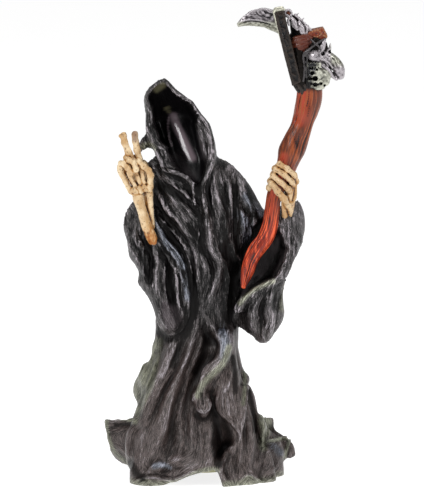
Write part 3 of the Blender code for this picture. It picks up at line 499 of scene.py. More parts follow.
LEFT_FINGERS = (
    (((71, 318, -34), (76, 322.4, -43), (84, 317.4, -47), (91, 311.6, -42), (93, 305, -34)), 3.1),
    (((69, 312, -34), (72.6, 317, -43), (80.6, 311.6, -47.5), (88.4, 304.6, -42), (90.5, 299, -34)), 3.1),
    (((66.5, 305.5, -35), (69.8, 310.5, -43), (77.4, 304, -47.5), (85.4, 296.8, -42), (88, 292, -34)), 3.2),
    (((66, 299, -36), (68.4, 303.4, -42), (74.2, 295.4, -47), (80.6, 287.6, -43), (84.4, 281.6, -37)), 3.8),
)
LEFT_PALM = (
    ((90.6, 308, -36, 3.0), (90.4, 300, -35, 3.0), (90.4, 291, -33, 3.4), (87.2, 284, -34, 3.6)),
    ((86.2, 284, -35, 4.4), (86, 279.5, -34, 4.2), (87, 275.4, -32, 3.0), (86.2, 270, -28, 2.2),
     (84, 262, -21, 2.4)),
    ((88, 300, -38, 2.6), (86.6, 291, -38, 2.8), (85, 285, -37, 3.0)),
    ((80, 284, -37, 2.4), (81, 276, -34, 2.8), (82, 266, -27, 3)),
    ((88, 300, -28, 6), (86, 288, -27, 6.4), (85, 274, -24, 5)),
)
BROWN_TIP = (((-67.8, 356), (-67.6, 347)), 4.2)
AMBER_TOP, AMBER_BLEND = 270, 26

# The staff from its top down: across, up, depth, radius
STAFF = (
    (97, 443, -28, 8.5), (103, 424, -28, 10.5), (106, 394, -28, 12.6), (103, 377, -29, 12.4),
    (100, 366, -29, 11.2), (97, 357, -30, 11), (92, 346, -30, 12), (88, 335, -31, 12.6),
    (84, 323, -32, 10.6), (75, 301, -33, 8.2), (70.5, 288, -34, 7.2), (68.5, 275, -34, 7.6),
    (66.5, 262, -35, 7.6), (62, 250, -35, 7.6), (53.5, 237, -36, 8), (47.5, 226, -36, 7),
    (44, 215, -36, 6), (40.5, 201, -36, 2.6),
)
BRIGHT_TOP, BRIGHT_BLEND = 300, 50
BLACK_FROM, BLACK_BLEND = 393, 5
RED_PATCHES = (
    (((97, 398), (98, 388), (97, 374), (95, 364)), 6),
    (((80, 330), (76, 310), (70, 292), (66, 272)), 5),
)
WOOD_CRACKS = (
    (((104, 396), (105, 388), (103, 380)), 0.9),
    (((106, 390), (108, 386), (106, 380), (104, 370)), 0.8),
    (((89, 354), (91, 346), (94, 338)), 1.2),
    (((96, 352), (94, 344), (94, 338)), 1.0),
    (((80, 322), (78, 312), (74, 300)), 0.8),
    (((66, 280), (63, 262), (58, 248)), 0.8),
    (((60, 256), (54, 240), (48, 228)), 0.8),
    (((54, 230), (48, 222), (44, 212)), 1.0),
    (((42, 222), (41, 212), (40, 204)), 1.0),
)
BLADE = (
    ((33.5, 461, -30, 2), (38, 467, -30, 4), (45, 473, -30, 5), (52, 476, -30, 6), (60, 477, -30, 6),
     (76, 473, -30, 7)),
    ((34, 459.5, -30, 2), (40, 463, -30, 5), (48, 465, -30, 6), (56, 465, -30, 7), (64, 464, -30, 7),
     (76, 459, -30, 8)),
    ((35, 458, -30, 1), (43, 459, -30, 1), (50, 459, -30, 1), (58, 458, -30, 1), (66, 456, -30, 1.2),
     (77, 450, -30, 1.4)),
)
BAR = (
    ((70.5, 472, -38, 9), (80, 474.5, -38, 9)),
    ((79, 436, -38, 9), (88.5, 439.5, -38, 9)),
    ((88.5, 400, -38, 9), (97.5, 404.5, -38, 9)),
)
BLOCK = (
    ((110.5, 456, -26, 16), (119, 458, -26, 16)),
    ((104.5, 453.6, -26, 17), (121.3, 453.6, -26, 17)),
    ((103.5, 449, -26, 17), (123.3, 449, -26, 17)),
    ((109, 444.6, -26, 16), (118, 445, -26, 16)),
)


def spots(places):
    """World points of map places, an array whose last axis starts with across, up, depth."""
    across, up, depth = places[..., 0], places[..., 1], places[..., 2]
    height = (up - (depth - FRONT_HEM) * SIN) / COS
    return np.stack([across, depth, height], axis=-1) * UNIT


def mapped(points):
    """Map places of world points."""
    across, depth, height = (points[..., k] / UNIT for k in range(3))
    return np.stack([across, height * COS + (depth - FRONT_HEM) * SIN, depth], axis=-1)


def through(knots, count):
    """Points along a smooth curve through the knots, evenly spread along its chords."""
    knots = np.asarray(knots, float)
    ends = np.vstack([2 * knots[0] - knots[1], knots, 2 * knots[-1] - knots[-2]])
    chords = np.linalg.norm(np.diff(knots[:, :3], axis=0), axis=1)
    along = np.concatenate([[0], np.cumsum(chords)])
    at = np.linspace(0, along[-1], count)
    piece = np.clip(np.searchsorted(along, at, side="right") - 1, 0, len(knots) - 2)
    t = ((at - along[piece]) / chords[piece])[:, None]
    a, b, c, d = (ends[piece + k] for k in range(4))
    bend = (2 * a - 5 * b + 4 * c - d) * t**2 + (3 * b - a - 3 * c + d) * t**3
    return 0.5 * (2 * b + (c - a) * t + bend)


def length_of(path):
    """Length of the straight line through a path's points."""
    return np.linalg.norm(np.diff(np.asarray(path, float)[:, :3], axis=0), axis=1).sum()


def drawn(path, count):
    """Points of a path of across and up, smooth on the map and with zero depth."""
    flat = np.asarray(path, float)
    return through(np.column_stack([flat, np.zeros(len(flat))]), count)


def close_to(places, line, margin, share):
    """Whether each place lies close to the middle of a line, as far as its margin and length say."""
    middle = line[:, :2].mean(axis=0)
    return (np.abs(places[:, :2] - middle) < margin + share * np.ptp(line[:, :2], axis=0)).all(axis=1)


def skin(bm, rings):
    """A closed skin over rings of equal count, with a flat cap on the first and the last."""
    loops = [[bm.verts.new(point) for point in ring] for ring in rings]
    count = len(loops[0])
    for lower, upper in zip(loops, loops[1:]):
        for k in range(count):
            bm.faces.new((lower[k], lower[(k + 1) % count], upper[(k + 1) % count], upper[k]))
    bm.faces.new(loops[0][::-1])
    bm.faces.new(loops[-1])


def tower(bm, rows, square=2.0):
    """A standing form whose level rings are given by height, across, depth and half sizes."""
    sides, fine = 40, 5
    rows = through(rows, fine * len(rows))
    turn = np.linspace(0, 2 * math.pi, sides, endpoint=False)
    aside, ahead = (np.sign(way) * np.abs(way) ** (2 / square) for way in (np.cos(turn), np.sin(turn)))
    rings = []
    for height, across, depth, wide, deep in rows:
        x = across + wide * aside
        y = depth + deep * ahead
        rings.append(np.stack([x, y, np.full(sides, height)], axis=1) * UNIT)
    skin(bm, rings)


def tube_rings(path, sides, step):
    """Rings of a round-ended tube along across, up, depth, radius."""
    rows = through(path, max(6, int(length_of(path) / step)))
    centres = spots(rows)
    radii = np.maximum(rows[:, 3], 0.3) * UNIT
    along = np.gradient(centres, axis=0)
    along /= np.linalg.norm(along, axis=1)[:, None]
    across = np.cross(along, np.array(VIEW))
    across /= np.maximum(np.linalg.norm(across, axis=1), 1e-9)[:, None]
    toward = np.cross(across, along)
    turn = np.linspace(0, 2 * math.pi, sides, endpoint=False)[:, None]

    def ring(k, ahead, share):
        centre = centres[k] + along[k] * ahead * radii[k]
        return centre + radii[k] * share * (np.cos(turn) * across[k] + np.sin(turn) * toward[k])

    dome = [math.radians(angle) for angle in (75, 50, 25)]
    rings = [ring(0, -math.sin(angle), math.cos(angle)) for angle in dome]
    rings += [ring(k, 0, 1) for k in range(len(rows))]
    rings += [ring(-1, math.sin(angle), math.cos(angle)) for angle in dome[::-1]]
    return rings


def tube(bm, path, sides=16, step=2.0):
    """A round-ended tube."""
    skin(bm, tube_rings(path, sides, step))


def sheet(bm, rows, fine=14):
    """A slab through rows of across, up, depth, thickness, each row given from edge to edge."""
    grid = np.array([through(row, fine) for row in rows])
    grid = np.stack([through(grid[:, k], fine) for k in range(fine)], axis=1)
    centre = spots(grid)
    normal = np.cross(np.gradient(centre, axis=0), np.gradient(centre, axis=1))
    normal /= np.linalg.norm(normal, axis=2)[..., None]
    half = normal * grid[..., 3:4] * UNIT / 2
    rings = []
    for k in range(fine):
        rings.append(np.vstack([(centre + half)[k], (centre - half)[k, ::-1]]))
    skin(bm, rings)


def mesh_of(name, build):
    """A mesh holding the closed shapes that build adds to a bmesh."""
    bm = bmesh.new()
    build(bm)
    bmesh.ops.recalc_face_normals(bm, faces=bm.faces)
    mesh = bpy.data.meshes.new(name)
    bm.to_mesh(mesh)
    bm.free()
    return mesh


def shaped(mesh, *steps):
    """The mesh after modifiers, each given as its type and its settings."""
    carrier = bpy.data.objects.new("carrier", mesh)
    bpy.context.scene.collection.objects.link(carrier)
    for kind, settings in steps:
        modifier = carrier.modifiers.new(kind.title(), kind)
        for key, value in settings.items():
            setattr(modifier, key, value)
    graph = bpy.context.evaluated_depsgraph_get()
    made = bpy.data.meshes.new_from_object(carrier.evaluated_get(graph), depsgraph=graph)
    made.name = mesh.name
    bpy.data.objects.remove(carrier)
    bpy.data.meshes.remove(mesh)
    return made


def fused(mesh, voxel, rounds):
    """The mesh with its overlapping shapes made one skin of even cells, then smoothed."""
    remesh = ("REMESH", {"mode": "VOXEL", "voxel_size": voxel})
    return shaped(mesh, remesh, ("SMOOTH", {"iterations": rounds}))


def thinned(mesh, triangles):
    """The mesh with at most this many triangles, kept where its shape needs them."""
    share = min(1, triangles / (2 * len(mesh.polygons)))
    return shaped(mesh, ("DECIMATE", {"ratio": share}))


def points_of(mesh):
    flat = np.empty(len(mesh.vertices) * 3, np.float32)
    mesh.vertices.foreach_get("co", flat)
    return flat.reshape(-1, 3).astype(float)


def normals_of(mesh):
    flat = np.empty(len(mesh.vertices) * 3, np.float32)
    mesh.vertex_normals.foreach_get("vector", flat)
    return flat.reshape(-1, 3).astype(float)


def edges_of(mesh):
    ends = np.empty(len(mesh.edges) * 2, np.int32)
    mesh.edges.foreach_get("vertices", ends)
    return ends.reshape(-1, 2).T


def put_points(mesh, points):
    mesh.vertices.foreach_set("co", points.astype(np.float32).ravel())
    mesh.update()


def put_values(mesh, **layers):
    """Stores named numbers at each vertex, for the materials to read."""
    for name, values in layers.items():
        layer = mesh.attributes.new(name, "FLOAT", "POINT")
        layer.data.foreach_set("value", values.astype(np.float32))


def eased(share):
    share = np.clip(share, 0, 1)
    return share * share * (3 - 2 * share)


def unit_rows(vectors):
    return vectors / np.maximum(np.linalg.norm(vectors, axis=1), 1e-12)[:, None]


def gathered(values, ends, weights):
    """For each vertex, the weighted sum of the values at its neighbours."""
    first, second = ends
    count = len(values)
    ahead = np.bincount(first, weights * values[second], count)
    return ahead + np.bincount(second, weights * values[first], count)


def evened(values, ends, rounds):
    """Values at the vertices averaged with those around them, that many times."""
    weights = np.ones(ends.shape[1])
    share = 1 + gathered(np.ones(len(values)), ends, weights)
    if values.ndim == 2:
        return np.stack([evened(column, ends, rounds) for column in values.T], axis=1)
    for _ in range(rounds):
        values = (values + gathered(values, ends, weights)) / share
    return values


def combed(values, points, ends, flow, rounds):
    """Values smeared along the flow, which makes even noise into long scratches."""
    way = unit_rows(points[ends[1]] - points[ends[0]])
    weights = np.abs((way * unit_rows(flow[ends[0]] + flow[ends[1]])).sum(axis=1)) ** 8
    share = 1 + gathered(np.ones(len(values)), ends, weights)
    for _ in range(rounds):
        values = (values + gathered(values, ends, weights)) / share
    values = values - evened(values, ends, 4)
    return np.clip(values / values.std(), -3, 3)


def raised(points, normals, ends, rounds):
    """How far the skin stands out from its own surroundings, in shares of the usual spread."""
    height = ((points - evened(points, ends, rounds)) * normals).sum(axis=1)
    return np.clip(height / height.std(), -4, 4)


def depth_inside(places, outline):
    """How far each place lies inside a closed outline on the map, and zero outside it."""
    x, y = places[:, 0], places[:, 1]
    inside = np.zeros(len(places), bool)
    nearest = np.full(len(places), np.inf)
    for (x0, y0), (x1, y1) in zip(outline, outline[1:] + outline[:1]):
        crosses = (y0 > y) != (y1 > y)
        where = x0 + (y - y0) * (x1 - x0) / ((y1 - y0) or 1e-9)
        inside ^= crosses & (x < where)
        run = (x1 - x0) ** 2 + (y1 - y0) ** 2
        t = np.clip(((x - x0) * (x1 - x0) + (y - y0) * (y1 - y0)) / run, 0, 1)
        nearest = np.minimum(nearest, np.hypot(x - x0 - t * (x1 - x0), y - y0 - t * (y1 - y0)))
    return np.where(inside, nearest, 0)


def press(mesh, outline, floor, soft):
    """Pushes the front of the form back to a floor depth inside an outline, but leaves a wall."""
    points = points_of(mesh)
    places = mapped(points)
    depth = places[:, 2]
    floor = floor(places) if callable(floor) else np.full(len(points), float(floor))
    share = eased(depth_inside(places, outline) / soft)
    tree = tree_of(mesh)
    for k in np.flatnonzero((share > 0) & (depth < floor)):
        back = tree.ray_cast(Vector(points[k]) + VIEW * UNIT, VIEW)[0]
        if back:
            floor[k] = min(floor[k], mapped(np.array(back))[2] - WALL)
    places[:, 2] = np.where(depth < floor, depth + (floor - depth) * share, depth)
    put_points(mesh, spots(places))


def lift_hem(points):
    """Levels the underside below the ground, and raises the hem into its arch at the front."""
    across, depth, height = (points[:, k] / UNIT for k in range(3))
    height = np.maximum(height, -BURIED)
    left = eased((across - ARCH_LEFT) / (ARCH_CROWN - ARCH_LEFT))
    right = eased((ARCH_RIGHT - across) / (ARCH_RIGHT - ARCH_CROWN))
    reach = eased((ARCH_BACK - depth) / BURIED)
    rise = (ARCH_HEIGHT + BURIED) * np.minimum(left, right) * reach
    lifted = points.copy()
    lifted[:, 2] = (height + rise * np.clip(1 - height / ARCH_FADE, 0, 1)) * UNIT
    return lifted


def beside_fold(places):
    """How far each place lies to the viewer's right of the fold in the hood, which leans left."""
    return places[:, 0] + 23.5 + 0.42 * (places[:, 1] - 350)


def hood_floor(places):
    """Depth of the hood's hollow: a fold of cloth in it leans up and to the viewer's left."""
    rise = places[:, 1] - 350
    aside = beside_fold(places)
    cloth = -15 + 0.535 * rise + np.maximum(rise, -30) ** 2 / 370 - 0.34 * aside + aside**2 / 44
    bounds = -36 + 44 * eased((places[:, 1] - 280) / 45) - 44 * eased((places[:, 1] - 350) / 58)
    return np.maximum(-40, bounds - 5 * np.logaddexp(0, (bounds - cloth) / 5))


def tree_of(mesh):
    points = [Vector(point) for point in points_of(mesh)]
    return BVHTree.FromPolygons(points, [tuple(face.vertices) for face in mesh.polygons])


def traced(tree, path, side):
    """Closely spaced map places where a path meets the skin; side is 1 for front, -1 for back."""
    toward = VIEW * side
    found = []
    for across, up, _ in drawn(path, max(4, int(length_of(path)))):
        start = Vector(spots(np.array([across, up, 0.0]))) - toward * FIGURE_HEIGHT
        hit = tree.ray_cast(start, toward)[0]
        found.append(mapped(np.array(hit)) if hit else (across, up, np.nan))
    found = np.array(found)
    known = np.flatnonzero(~np.isnan(found[:, 2]))
    found[:, 2] = np.interp(np.arange(len(found)), known, found[known, 2]) if len(known) else 0
    return found


def nearest_on(places, line):
    """Index of the nearest point of a line for each place, and the offset from it on the map."""
    gaps = (places[:, None, 0] - line[None, :, 0]) ** 2 + (places[:, None, 1] - line[None, :, 1]) ** 2
    index = gaps.argmin(axis=1)
    return index, places[:, :2] - line[index, :2]


def profile(share, lean):
    """Height across a fold: a crest at zero and, on the side that it leans to, a furrow."""
    toward = share * lean
    crest = np.clip(1 - np.abs(share) * np.where(toward > 0, 1.5, 1), 0, 1) ** 1.4
    furrow = eased(1 - np.abs(toward - 1.0) / 0.9) if lean else 0
    return crest - 0.7 * furrow


def sculpt(mesh, folds, side=1, window=15):
    """Raises or sinks the skin along folds drawn on the map."""
    points = points_of(mesh)
    ends = edges_of(mesh)
    normals = unit_rows(evened(normals_of(mesh), ends, 5))
    places = mapped(points)
    tree = tree_of(mesh)
    shown = eased(0.5 - 2 * side * (normals @ AWAY))
    lift = np.zeros(len(points))
    for path, reach, rise, lean in folds:
        line = traced(tree, path, side)
        wide = reach * (2 if lean else 1)
        low, high = line[:, :2].min(axis=0) - wide, line[:, :2].max(axis=0) + wide
        boxed = ((places[:, :2] > low) & (places[:, :2] < high)).all(axis=1)
        near = np.flatnonzero(boxed & (shown > 0))
        index, offset = nearest_on(places[near], line)
        way = unit_rows(np.gradient(line[:, :2], axis=0))[index]
        sign = np.sign(way[:, 0] * offset[:, 1] - way[:, 1] * offset[:, 0])
        share = np.linalg.norm(offset, axis=1) / reach * sign
        along = index / (len(line) - 1)
        taper = 0.15 + 0.85 * eased(4 * along) * eased(4 * (1 - along))
        level = eased(1.5 - np.abs(places[near, 2] - line[index, 2]) / window)
        lift[near] += rise * profile(share, lean) * taper * level * shown[near]
    put_points(mesh, points + normals * (lift * UNIT)[:, None])


def back_folds():
    """Evenly fanned folds for the back."""
    folds = []
    for k in range(BACK_FOLDS):
        share = 2 * k / (BACK_FOLDS - 1) - 1
        sway = 3 * math.sin(2.4 * k)
        ends = ((BACK_SHOULDER, 325), (BACK_WAIST + sway, 250), (BACK_WAIST, 185), (BACK_HEM, 40))
        folds.append(([(share * across + sway, up) for across, up in ends], BACK_REACH, BACK_RISE, 1))
        beside = [(share * across + sway + 9, up - 12) for across, up in ends]
        folds.append((beside, BACK_REACH / 2.5, BACK_RISE / 2.5, -1))
    return folds


def flow_over(points, normals, folds):
    """Directions along the skin that follow the nearest folds, and the fall of the cloth elsewhere."""
    places = mapped(points)
    spread = places[:, 0] / 160 * np.clip((190 - places[:, 1]) / 120, 0, 1)
    total = np.column_stack([spread, np.full(len(points), -1.0)]) * 1e-4
    facing = normals @ AWAY
    front = np.flatnonzero(facing < 0.2)
    for path, _, _, _ in folds:
        line = drawn(path, 2 + int(length_of(path) / 6))
        near = front[close_to(places[front], line, 30, 0.5)]
        index, offset = nearest_on(places[near], line)
        way = unit_rows(np.gradient(line[:, :2], axis=0))
        way *= np.where(way[:, 1:] > 0, -1, 1)
        total[near] += way[index] / ((offset**2).sum(axis=1) + 9)[:, None] ** 1.5
    way = unit_rows(total)
    facing = np.where(np.abs(facing) < 0.3, np.copysign(0.3, facing), facing)
    lean = way[:, 0] * normals[:, 0] + way[:, 1] * (normals @ RAISED)
    level = way[:, :1] * np.array((1, 0, 0)) + way[:, 1:] * RAISED
    return unit_rows(level - (lean / facing)[:, None] * AWAY)


def painted(places, marks, front):
    """How much of a paint lies at each place, from strokes given as a path and a reach."""
    cover = np.zeros(len(places))
    for path, reach in marks:
        line = drawn(path, max(4, int(length_of(path) / 2)))
        near = np.flatnonzero(close_to(places, line, 2 * reach, 1))
        _, offset = nearest_on(places[near], line)
        cover[near] = np.maximum(cover[near], eased(1.3 - np.linalg.norm(offset, axis=1) / reach))
    return cover * front


def robe_shapes(bm):
    """The overlapping shapes that the robe is fused from."""
    for rows in (BODY, RIGHT_SLEEVE, LEFT_SLEEVE):
        tower(bm, rows)
    tower(bm, HOOD, square=3.4)
    for roll in ROBE_ROLLS + ROBE_RIMS:
        tube(bm, roll)
    for depth in HOOD_WALL_DEPTHS:
        tube(bm, [(across, up, depth, radius) for across, up, radius in HOOD_WALL])
    sheet(bm, LEFT_FLAP)
    sheet(bm, RIGHT_FLAP)


def robe_mesh():
    """The robe's skin: its shapes fused, pressed hollow, then folded broadly and finely."""
    mesh = fused(mesh_of("robe", robe_shapes), FIRST_VOXEL, 4)
    press(mesh, HOOD_OPENING, hood_floor, 4)
    press(mesh, SLEEVE_OPENING, -12, 5)
    press(mesh, HEM_HOLLOW, -44, 13)
    put_points(mesh, lift_hem(points_of(mesh)))
    mesh = fused(mesh, FOLD_VOXEL, 2)
    sculpt(mesh, BROAD_FOLDS)
    sculpt(mesh, back_folds(), side=-1)
    mesh = fused(mesh, ROBE_VOXEL, 2)
    sculpt(mesh, FINE_FOLDS)
    points = points_of(mesh)
    points[:, 2] = np.maximum(points[:, 2], 0)
    put_points(mesh, points)
    return thinned(mesh, ROBE_TRIANGLES)


def robe_layers(places, height, front):
    """Where each of the robe's paints lies, as shares at each place."""
    across, up, depth = places.T
    skirt = eased((SKIRT_TOP - up) / SKIRT_BLEND)
    hood = eased(depth_inside(places, HOOD_OPENING) / 3) * eased((depth + 43) / 4) * front
    gloss = hood * eased((up - 321) / 9) * eased((374 - up) / 14) * eased((12 - beside_fold(places)) / 4)
    rim = painted(places, ((HOOD_OPENING + HOOD_OPENING[:1], 7),), front)
    right_rim = eased((across + 8) / 6) * eased((up - 300) / 20)
    sleeve_painted_sheen = painted(places, SLEEVE_PAINTED_SHEEN, front)
    olive = (
        eased(depth_inside(places, OLIVE_BACK) / 5) * front,
        painted(places, OLIVE_MARKS, front),
        # olive painted highlight along the hem's lowest edge
        0.8 * eased(1.4 - height / HEM_HIGHLIGHT_HEIGHT),
        # olive painted highlight on the skirt's faces turned from the viewer
        0.45 * eased(0.4 - front) * skirt,
    )
    return {
        "hood": hood,
        "gloss": gloss,
        "skirt": skirt,
        "olive": np.maximum.reduce(olive),
        "blue": painted(places, BLUE_AND_HIGHLIGHT_MARKS, front),
        "pale": painted(places, PALE_AND_HIGHLIGHT_MARKS, front),
        # painted shade marks
        "shade": painted(places, PAINTED_SHADE_MARKS, front),
        "rim": rim * (1 - 0.65 * right_rim),
        "streak": painted(places, HOOD_PAINTED_REFLECTION, front),
        "sheen": np.maximum(0.45 * painted(places, HOOD_PAINTED_SHEEN, front), sleeve_painted_sheen),
        "spots": painted(places, HOOD_OLIVE, front),
        "lining": eased(depth_inside(places, LINING) / 6) * front,
    }


def robe():
    """The robe, with its paints' places and the run of its brush strokes stored on it."""
    mesh = robe_mesh()
    points, normals, ends = points_of(mesh), normals_of(mesh), edges_of(mesh)
    soft = unit_rows(evened(normals, ends, 3))
    flow = flow_over(points, soft, BROAD_FOLDS + FINE_FOLDS)
    chance = np.random.default_rng(11).normal(size=(2, len(points)))
    scratch = combed(chance[0], points, ends, flow, 30)
    broad = combed(evened(chance[1], ends, 2), points, ends, flow, 60)
    crest, swell = raised(points, normals, ends, 4), raised(points, soft, ends, 60)
    layers = robe_layers(mapped(points), points[:, 2], eased(0.6 - 2 * (soft @ AWAY)))
    relief = (SCRATCH_RELIEF * scratch + STREAK_RELIEF * broad) * (1 - 0.75 * layers["skirt"])
    put_points(mesh, points + normals * (relief * (1 - layers["hood"]))[:, None])
    put_values(mesh, scratch=scratch, broad=broad, crest=crest, swell=swell, **layers)
    run = mesh.attributes.new("flow", "FLOAT_VECTOR", "POINT")
    run.data.foreach_set("vector", flow.astype(np.float32).ravel())
    placed("robe", mesh, robe_paint(), "robed_figure")


def bone_rows(joints, radius):
    """One tube for each bone of a finger, waisted between its joints."""
    rows = []
    for start, end in zip(joints, joints[1:]):
        start, end = np.array(start, float), np.array(end, float)
        steps = ((0.0, 1.0), (0.25, 0.9), (0.6, 0.86), (0.85, 0.96), (1.0, 1.04))
        rows.append([(*(start + (end - start) * share), radius * size) for share, size in steps])
    return rows


def hand(name, fingers, palm, aged=0.0):
    """A skeleton hand; aged says how far its ivory has browned."""
    bones = [row for joints, radius in fingers for row in bone_rows(joints, radius)]
    mesh = fused(mesh_of(name, tubes((*bones, *palm))), FINE_VOXEL, 2)
    points, normals, ends = points_of(mesh), normals_of(mesh), edges_of(mesh)
    chance = np.random.default_rng(5).normal(size=len(points))
    lumps = evened(chance, ends, 12)
    points = points + normals * (lumps / lumps.std() * BONE_LUMPS)[:, None]
    put_points(mesh, points)
    places = mapped(points)
    put_values(
        mesh,
        crest=raised(points, normals, ends, 6),
        swell=raised(points, normals, ends, 40),
        low=eased((AMBER_TOP - places[:, 1]) / AMBER_BLEND),
        brown=painted(places, (BROWN_TIP,), 1),
        aged=np.full(len(points), aged),
    )
    placed(name, mesh, bone_paint(), "robed_figure")


def wave(angle, along, seed, turns, count):
    """A smooth random pattern round and along a limb, from a few waves."""
    chance = np.random.default_rng(seed)
    total = np.zeros(np.broadcast(angle, along).shape)
    for _ in range(count):
        round_it, down_it = chance.integers(1, turns), chance.uniform(-1, 1)
        total += np.sin(round_it * angle + down_it * along + chance.uniform(0, 6.3))
    return total / math.sqrt(count)


def staff():
    """The staff: a gnarled branch with grain and deep cracks running along it."""
    rings = np.array(tube_rings(STAFF, STAFF_SIDES, step=STAFF_STEP))
    spokes = rings - rings.mean(axis=1, keepdims=True)
    angle = np.linspace(0, 2 * math.pi, STAFF_SIDES, endpoint=False)[None, :]
    along = np.linspace(0, 40, len(rings))[:, None]
    sway = 0.5 * wave(angle, along * 0.5, 3, 3, 4)
    grain = wave(angle + 0.12 * sway, along * 0.35, 7, 30, 14)
    cracks = -np.clip(wave(angle + 0.2 * sway, along * 0.3, 21, 11, 8) - 1.0, 0, 1.4)
    lumps = wave(angle, along * 1.3, 9, 4, 8)
    height = STAFF_LUMPS * lumps + STAFF_GRAIN * grain + STAFF_CRACKS * cracks
    size = np.linalg.norm(spokes, axis=2, keepdims=True)
    rings = rings + spokes / np.maximum(size, 1e-6) * height[..., None] * np.minimum(1, size / 0.003)

    mesh = mesh_of("staff", lambda bm: skin(bm, rings))
    points, normals, ends = points_of(mesh), normals_of(mesh), edges_of(mesh)
    places = mapped(points)
    up = places[:, 1]
    put_values(
        mesh,
        crest=raised(points, normals, ends, 8),
        grain=grain.ravel(),
        cracks=2 * painted(places, WOOD_CRACKS, 1) - cracks.ravel(),
        red=painted(places, RED_PATCHES, 1),
        low=eased((BRIGHT_TOP - up) / BRIGHT_BLEND),
        black=eased((up - BLACK_FROM) / BLACK_BLEND) * eased(0.9 - 2 * (normals @ AWAY)),
    )
    placed("staff", mesh, wood_paint("staff_paint"), "scythe")


def sunk(points, normals, pits):
    """Presses round pits into the side facing the viewer: across, up, radius, depth."""
    places = mapped(points)
    shown = eased(0.3 - 2 * (normals @ AWAY))
    for across, up, radius, deep in pits:
        gap = np.hypot(places[:, 0] - across, places[:, 1] - up)
        places[:, 2] += deep * eased(1.5 - gap / radius) * shown
    return spots(places)


def fine_piece(name, build, paint, pits=(), folds=(), tint=None, gilt=False):
    """A small carved piece of the scythe's head; tint says where its second colour lies."""
    mesh = fused(mesh_of(name, build), FINE_VOXEL, 1)
    if folds:
        sculpt(mesh, folds, window=12)
    points, normals, ends = points_of(mesh), normals_of(mesh), edges_of(mesh)
    points = sunk(points, normals, pits)
    put_points(mesh, points)
    normals = normals_of(mesh)
    noise = evened(np.random.default_rng(len(points)).normal(size=len(points)), ends, 6)
    noise = noise / noise.std()
    points = points + normals * (noise * CARVED_LUMPS)[:, None]
    put_points(mesh, points)
    crest, swell = raised(points, normals, ends, 6), raised(points, normals, ends, 30)
    put_values(mesh, crest=crest, swell=swell, mark=noise)
    if tint:
        put_values(mesh, tint=tint(mapped(points)))
    if gilt:
        ridges = [(path, 1.1) for path, _, rise, _ in folds if rise > 0]
        put_values(mesh, gilt=painted(mapped(points), ridges, 1))
    placed(name, mesh, paint, "scythe")


def tubes(paths):
    """What builds small tubes along the paths."""

    def build(bm):
        for path in paths:
            tube(bm, path, sides=14, step=1)

    return build


def slabs(*forms, fine=24):
    """What builds a slab for each form, with that many steps along and across it."""

    def build(bm):
        for rows in forms:
            sheet(bm, rows, fine)

    return build


def blade(paint):
    """The curved blade, silver above its edge and olive below."""
    fine_piece("blade", slabs(BLADE), paint, folds=(
        (((34, 461.8), (41, 464), (48, 465.2), (58, 464), (70, 461)), 1.5, 1.4, -1),
        (((57, 475), (61, 471), (67, 470)), 1.2, 1.2, 0),
        (((62, 476.5), (66, 473), (72, 472)), 1.2, 1.2, 0),
        (((52, 474), (55, 470), (60, 467.5)), 1.0, -1.2, 0),
        (((46, 471), (50, 470), (54, 471)), 0.9, -0.9, 0),
        (((44, 467), (48, 468.5), (51, 468)), 0.9, -0.8, 0),
        (((58, 470), (62, 468), (67, 467)), 0.9, -1.1, 0),
        (((38, 466), (42, 468.5), (46, 469)), 0.8, -0.7, 0),
        (((36, 460.4), (46, 462), (58, 461), (70, 456)), 0.7, -0.5, 0),
    ), tint=lambda places: eased((464.5 - places[:, 1]) / 3))


def bar(paint):
    """The black bar across the blade, with carved rims and pits."""
    fine_piece("bar", slabs(BAR, fine=20), paint, folds=(
        (((72.5, 472), (81.5, 437), (90, 403)), 1.2, 1.2, 0),
        (((79, 473), (87.5, 440), (95.5, 407)), 1.0, 1.0, 0),
        (((74, 470), (77.5, 469.5)), 1.2, 1.1, 0),
        (((75, 463), (78, 462)), 1.4, -1.3, 0),
        (((76, 457), (80, 456), (81, 452)), 1.1, 1.1, 0),
        (((77.5, 452), (82, 451)), 1.4, -1.2, 0),
        (((79, 446), (82, 445), (84, 441)), 1.1, 1.0, 0),
        (((81, 440), (85, 439)), 1.4, -1.2, 0),
        (((84, 431), (86, 427), (89, 425)), 1.1, 1.0, 0),
        (((86, 420), (90, 418)), 1.3, -1.2, 0),
        (((88, 412), (92, 409)), 1.3, 1.1, 0),
    ))


def bar_cap(paint):
    """The bar's pale end caps and edges; the pale strips along its left edge and at its lower end are
    painted highlights.
    """
    fine_piece("bar_cap", tubes((
        ((72, 475, -36, 2.3), (78, 476.4, -36, 2.3)),
        ((71.5, 473.6, -40, 1.2), (80.5, 475.2, -40, 1.2)),
        ((70.2, 473, -41, 1.3), (74.8, 455, -41, 1.2), (78.6, 440, -41, 0.9), (80, 434, -38, 0.6)),
        ((91, 403, -41, 1.2), (93.5, 404.2, -41, 1.3), (96, 404, -41, 1.0)),
    )), paint)


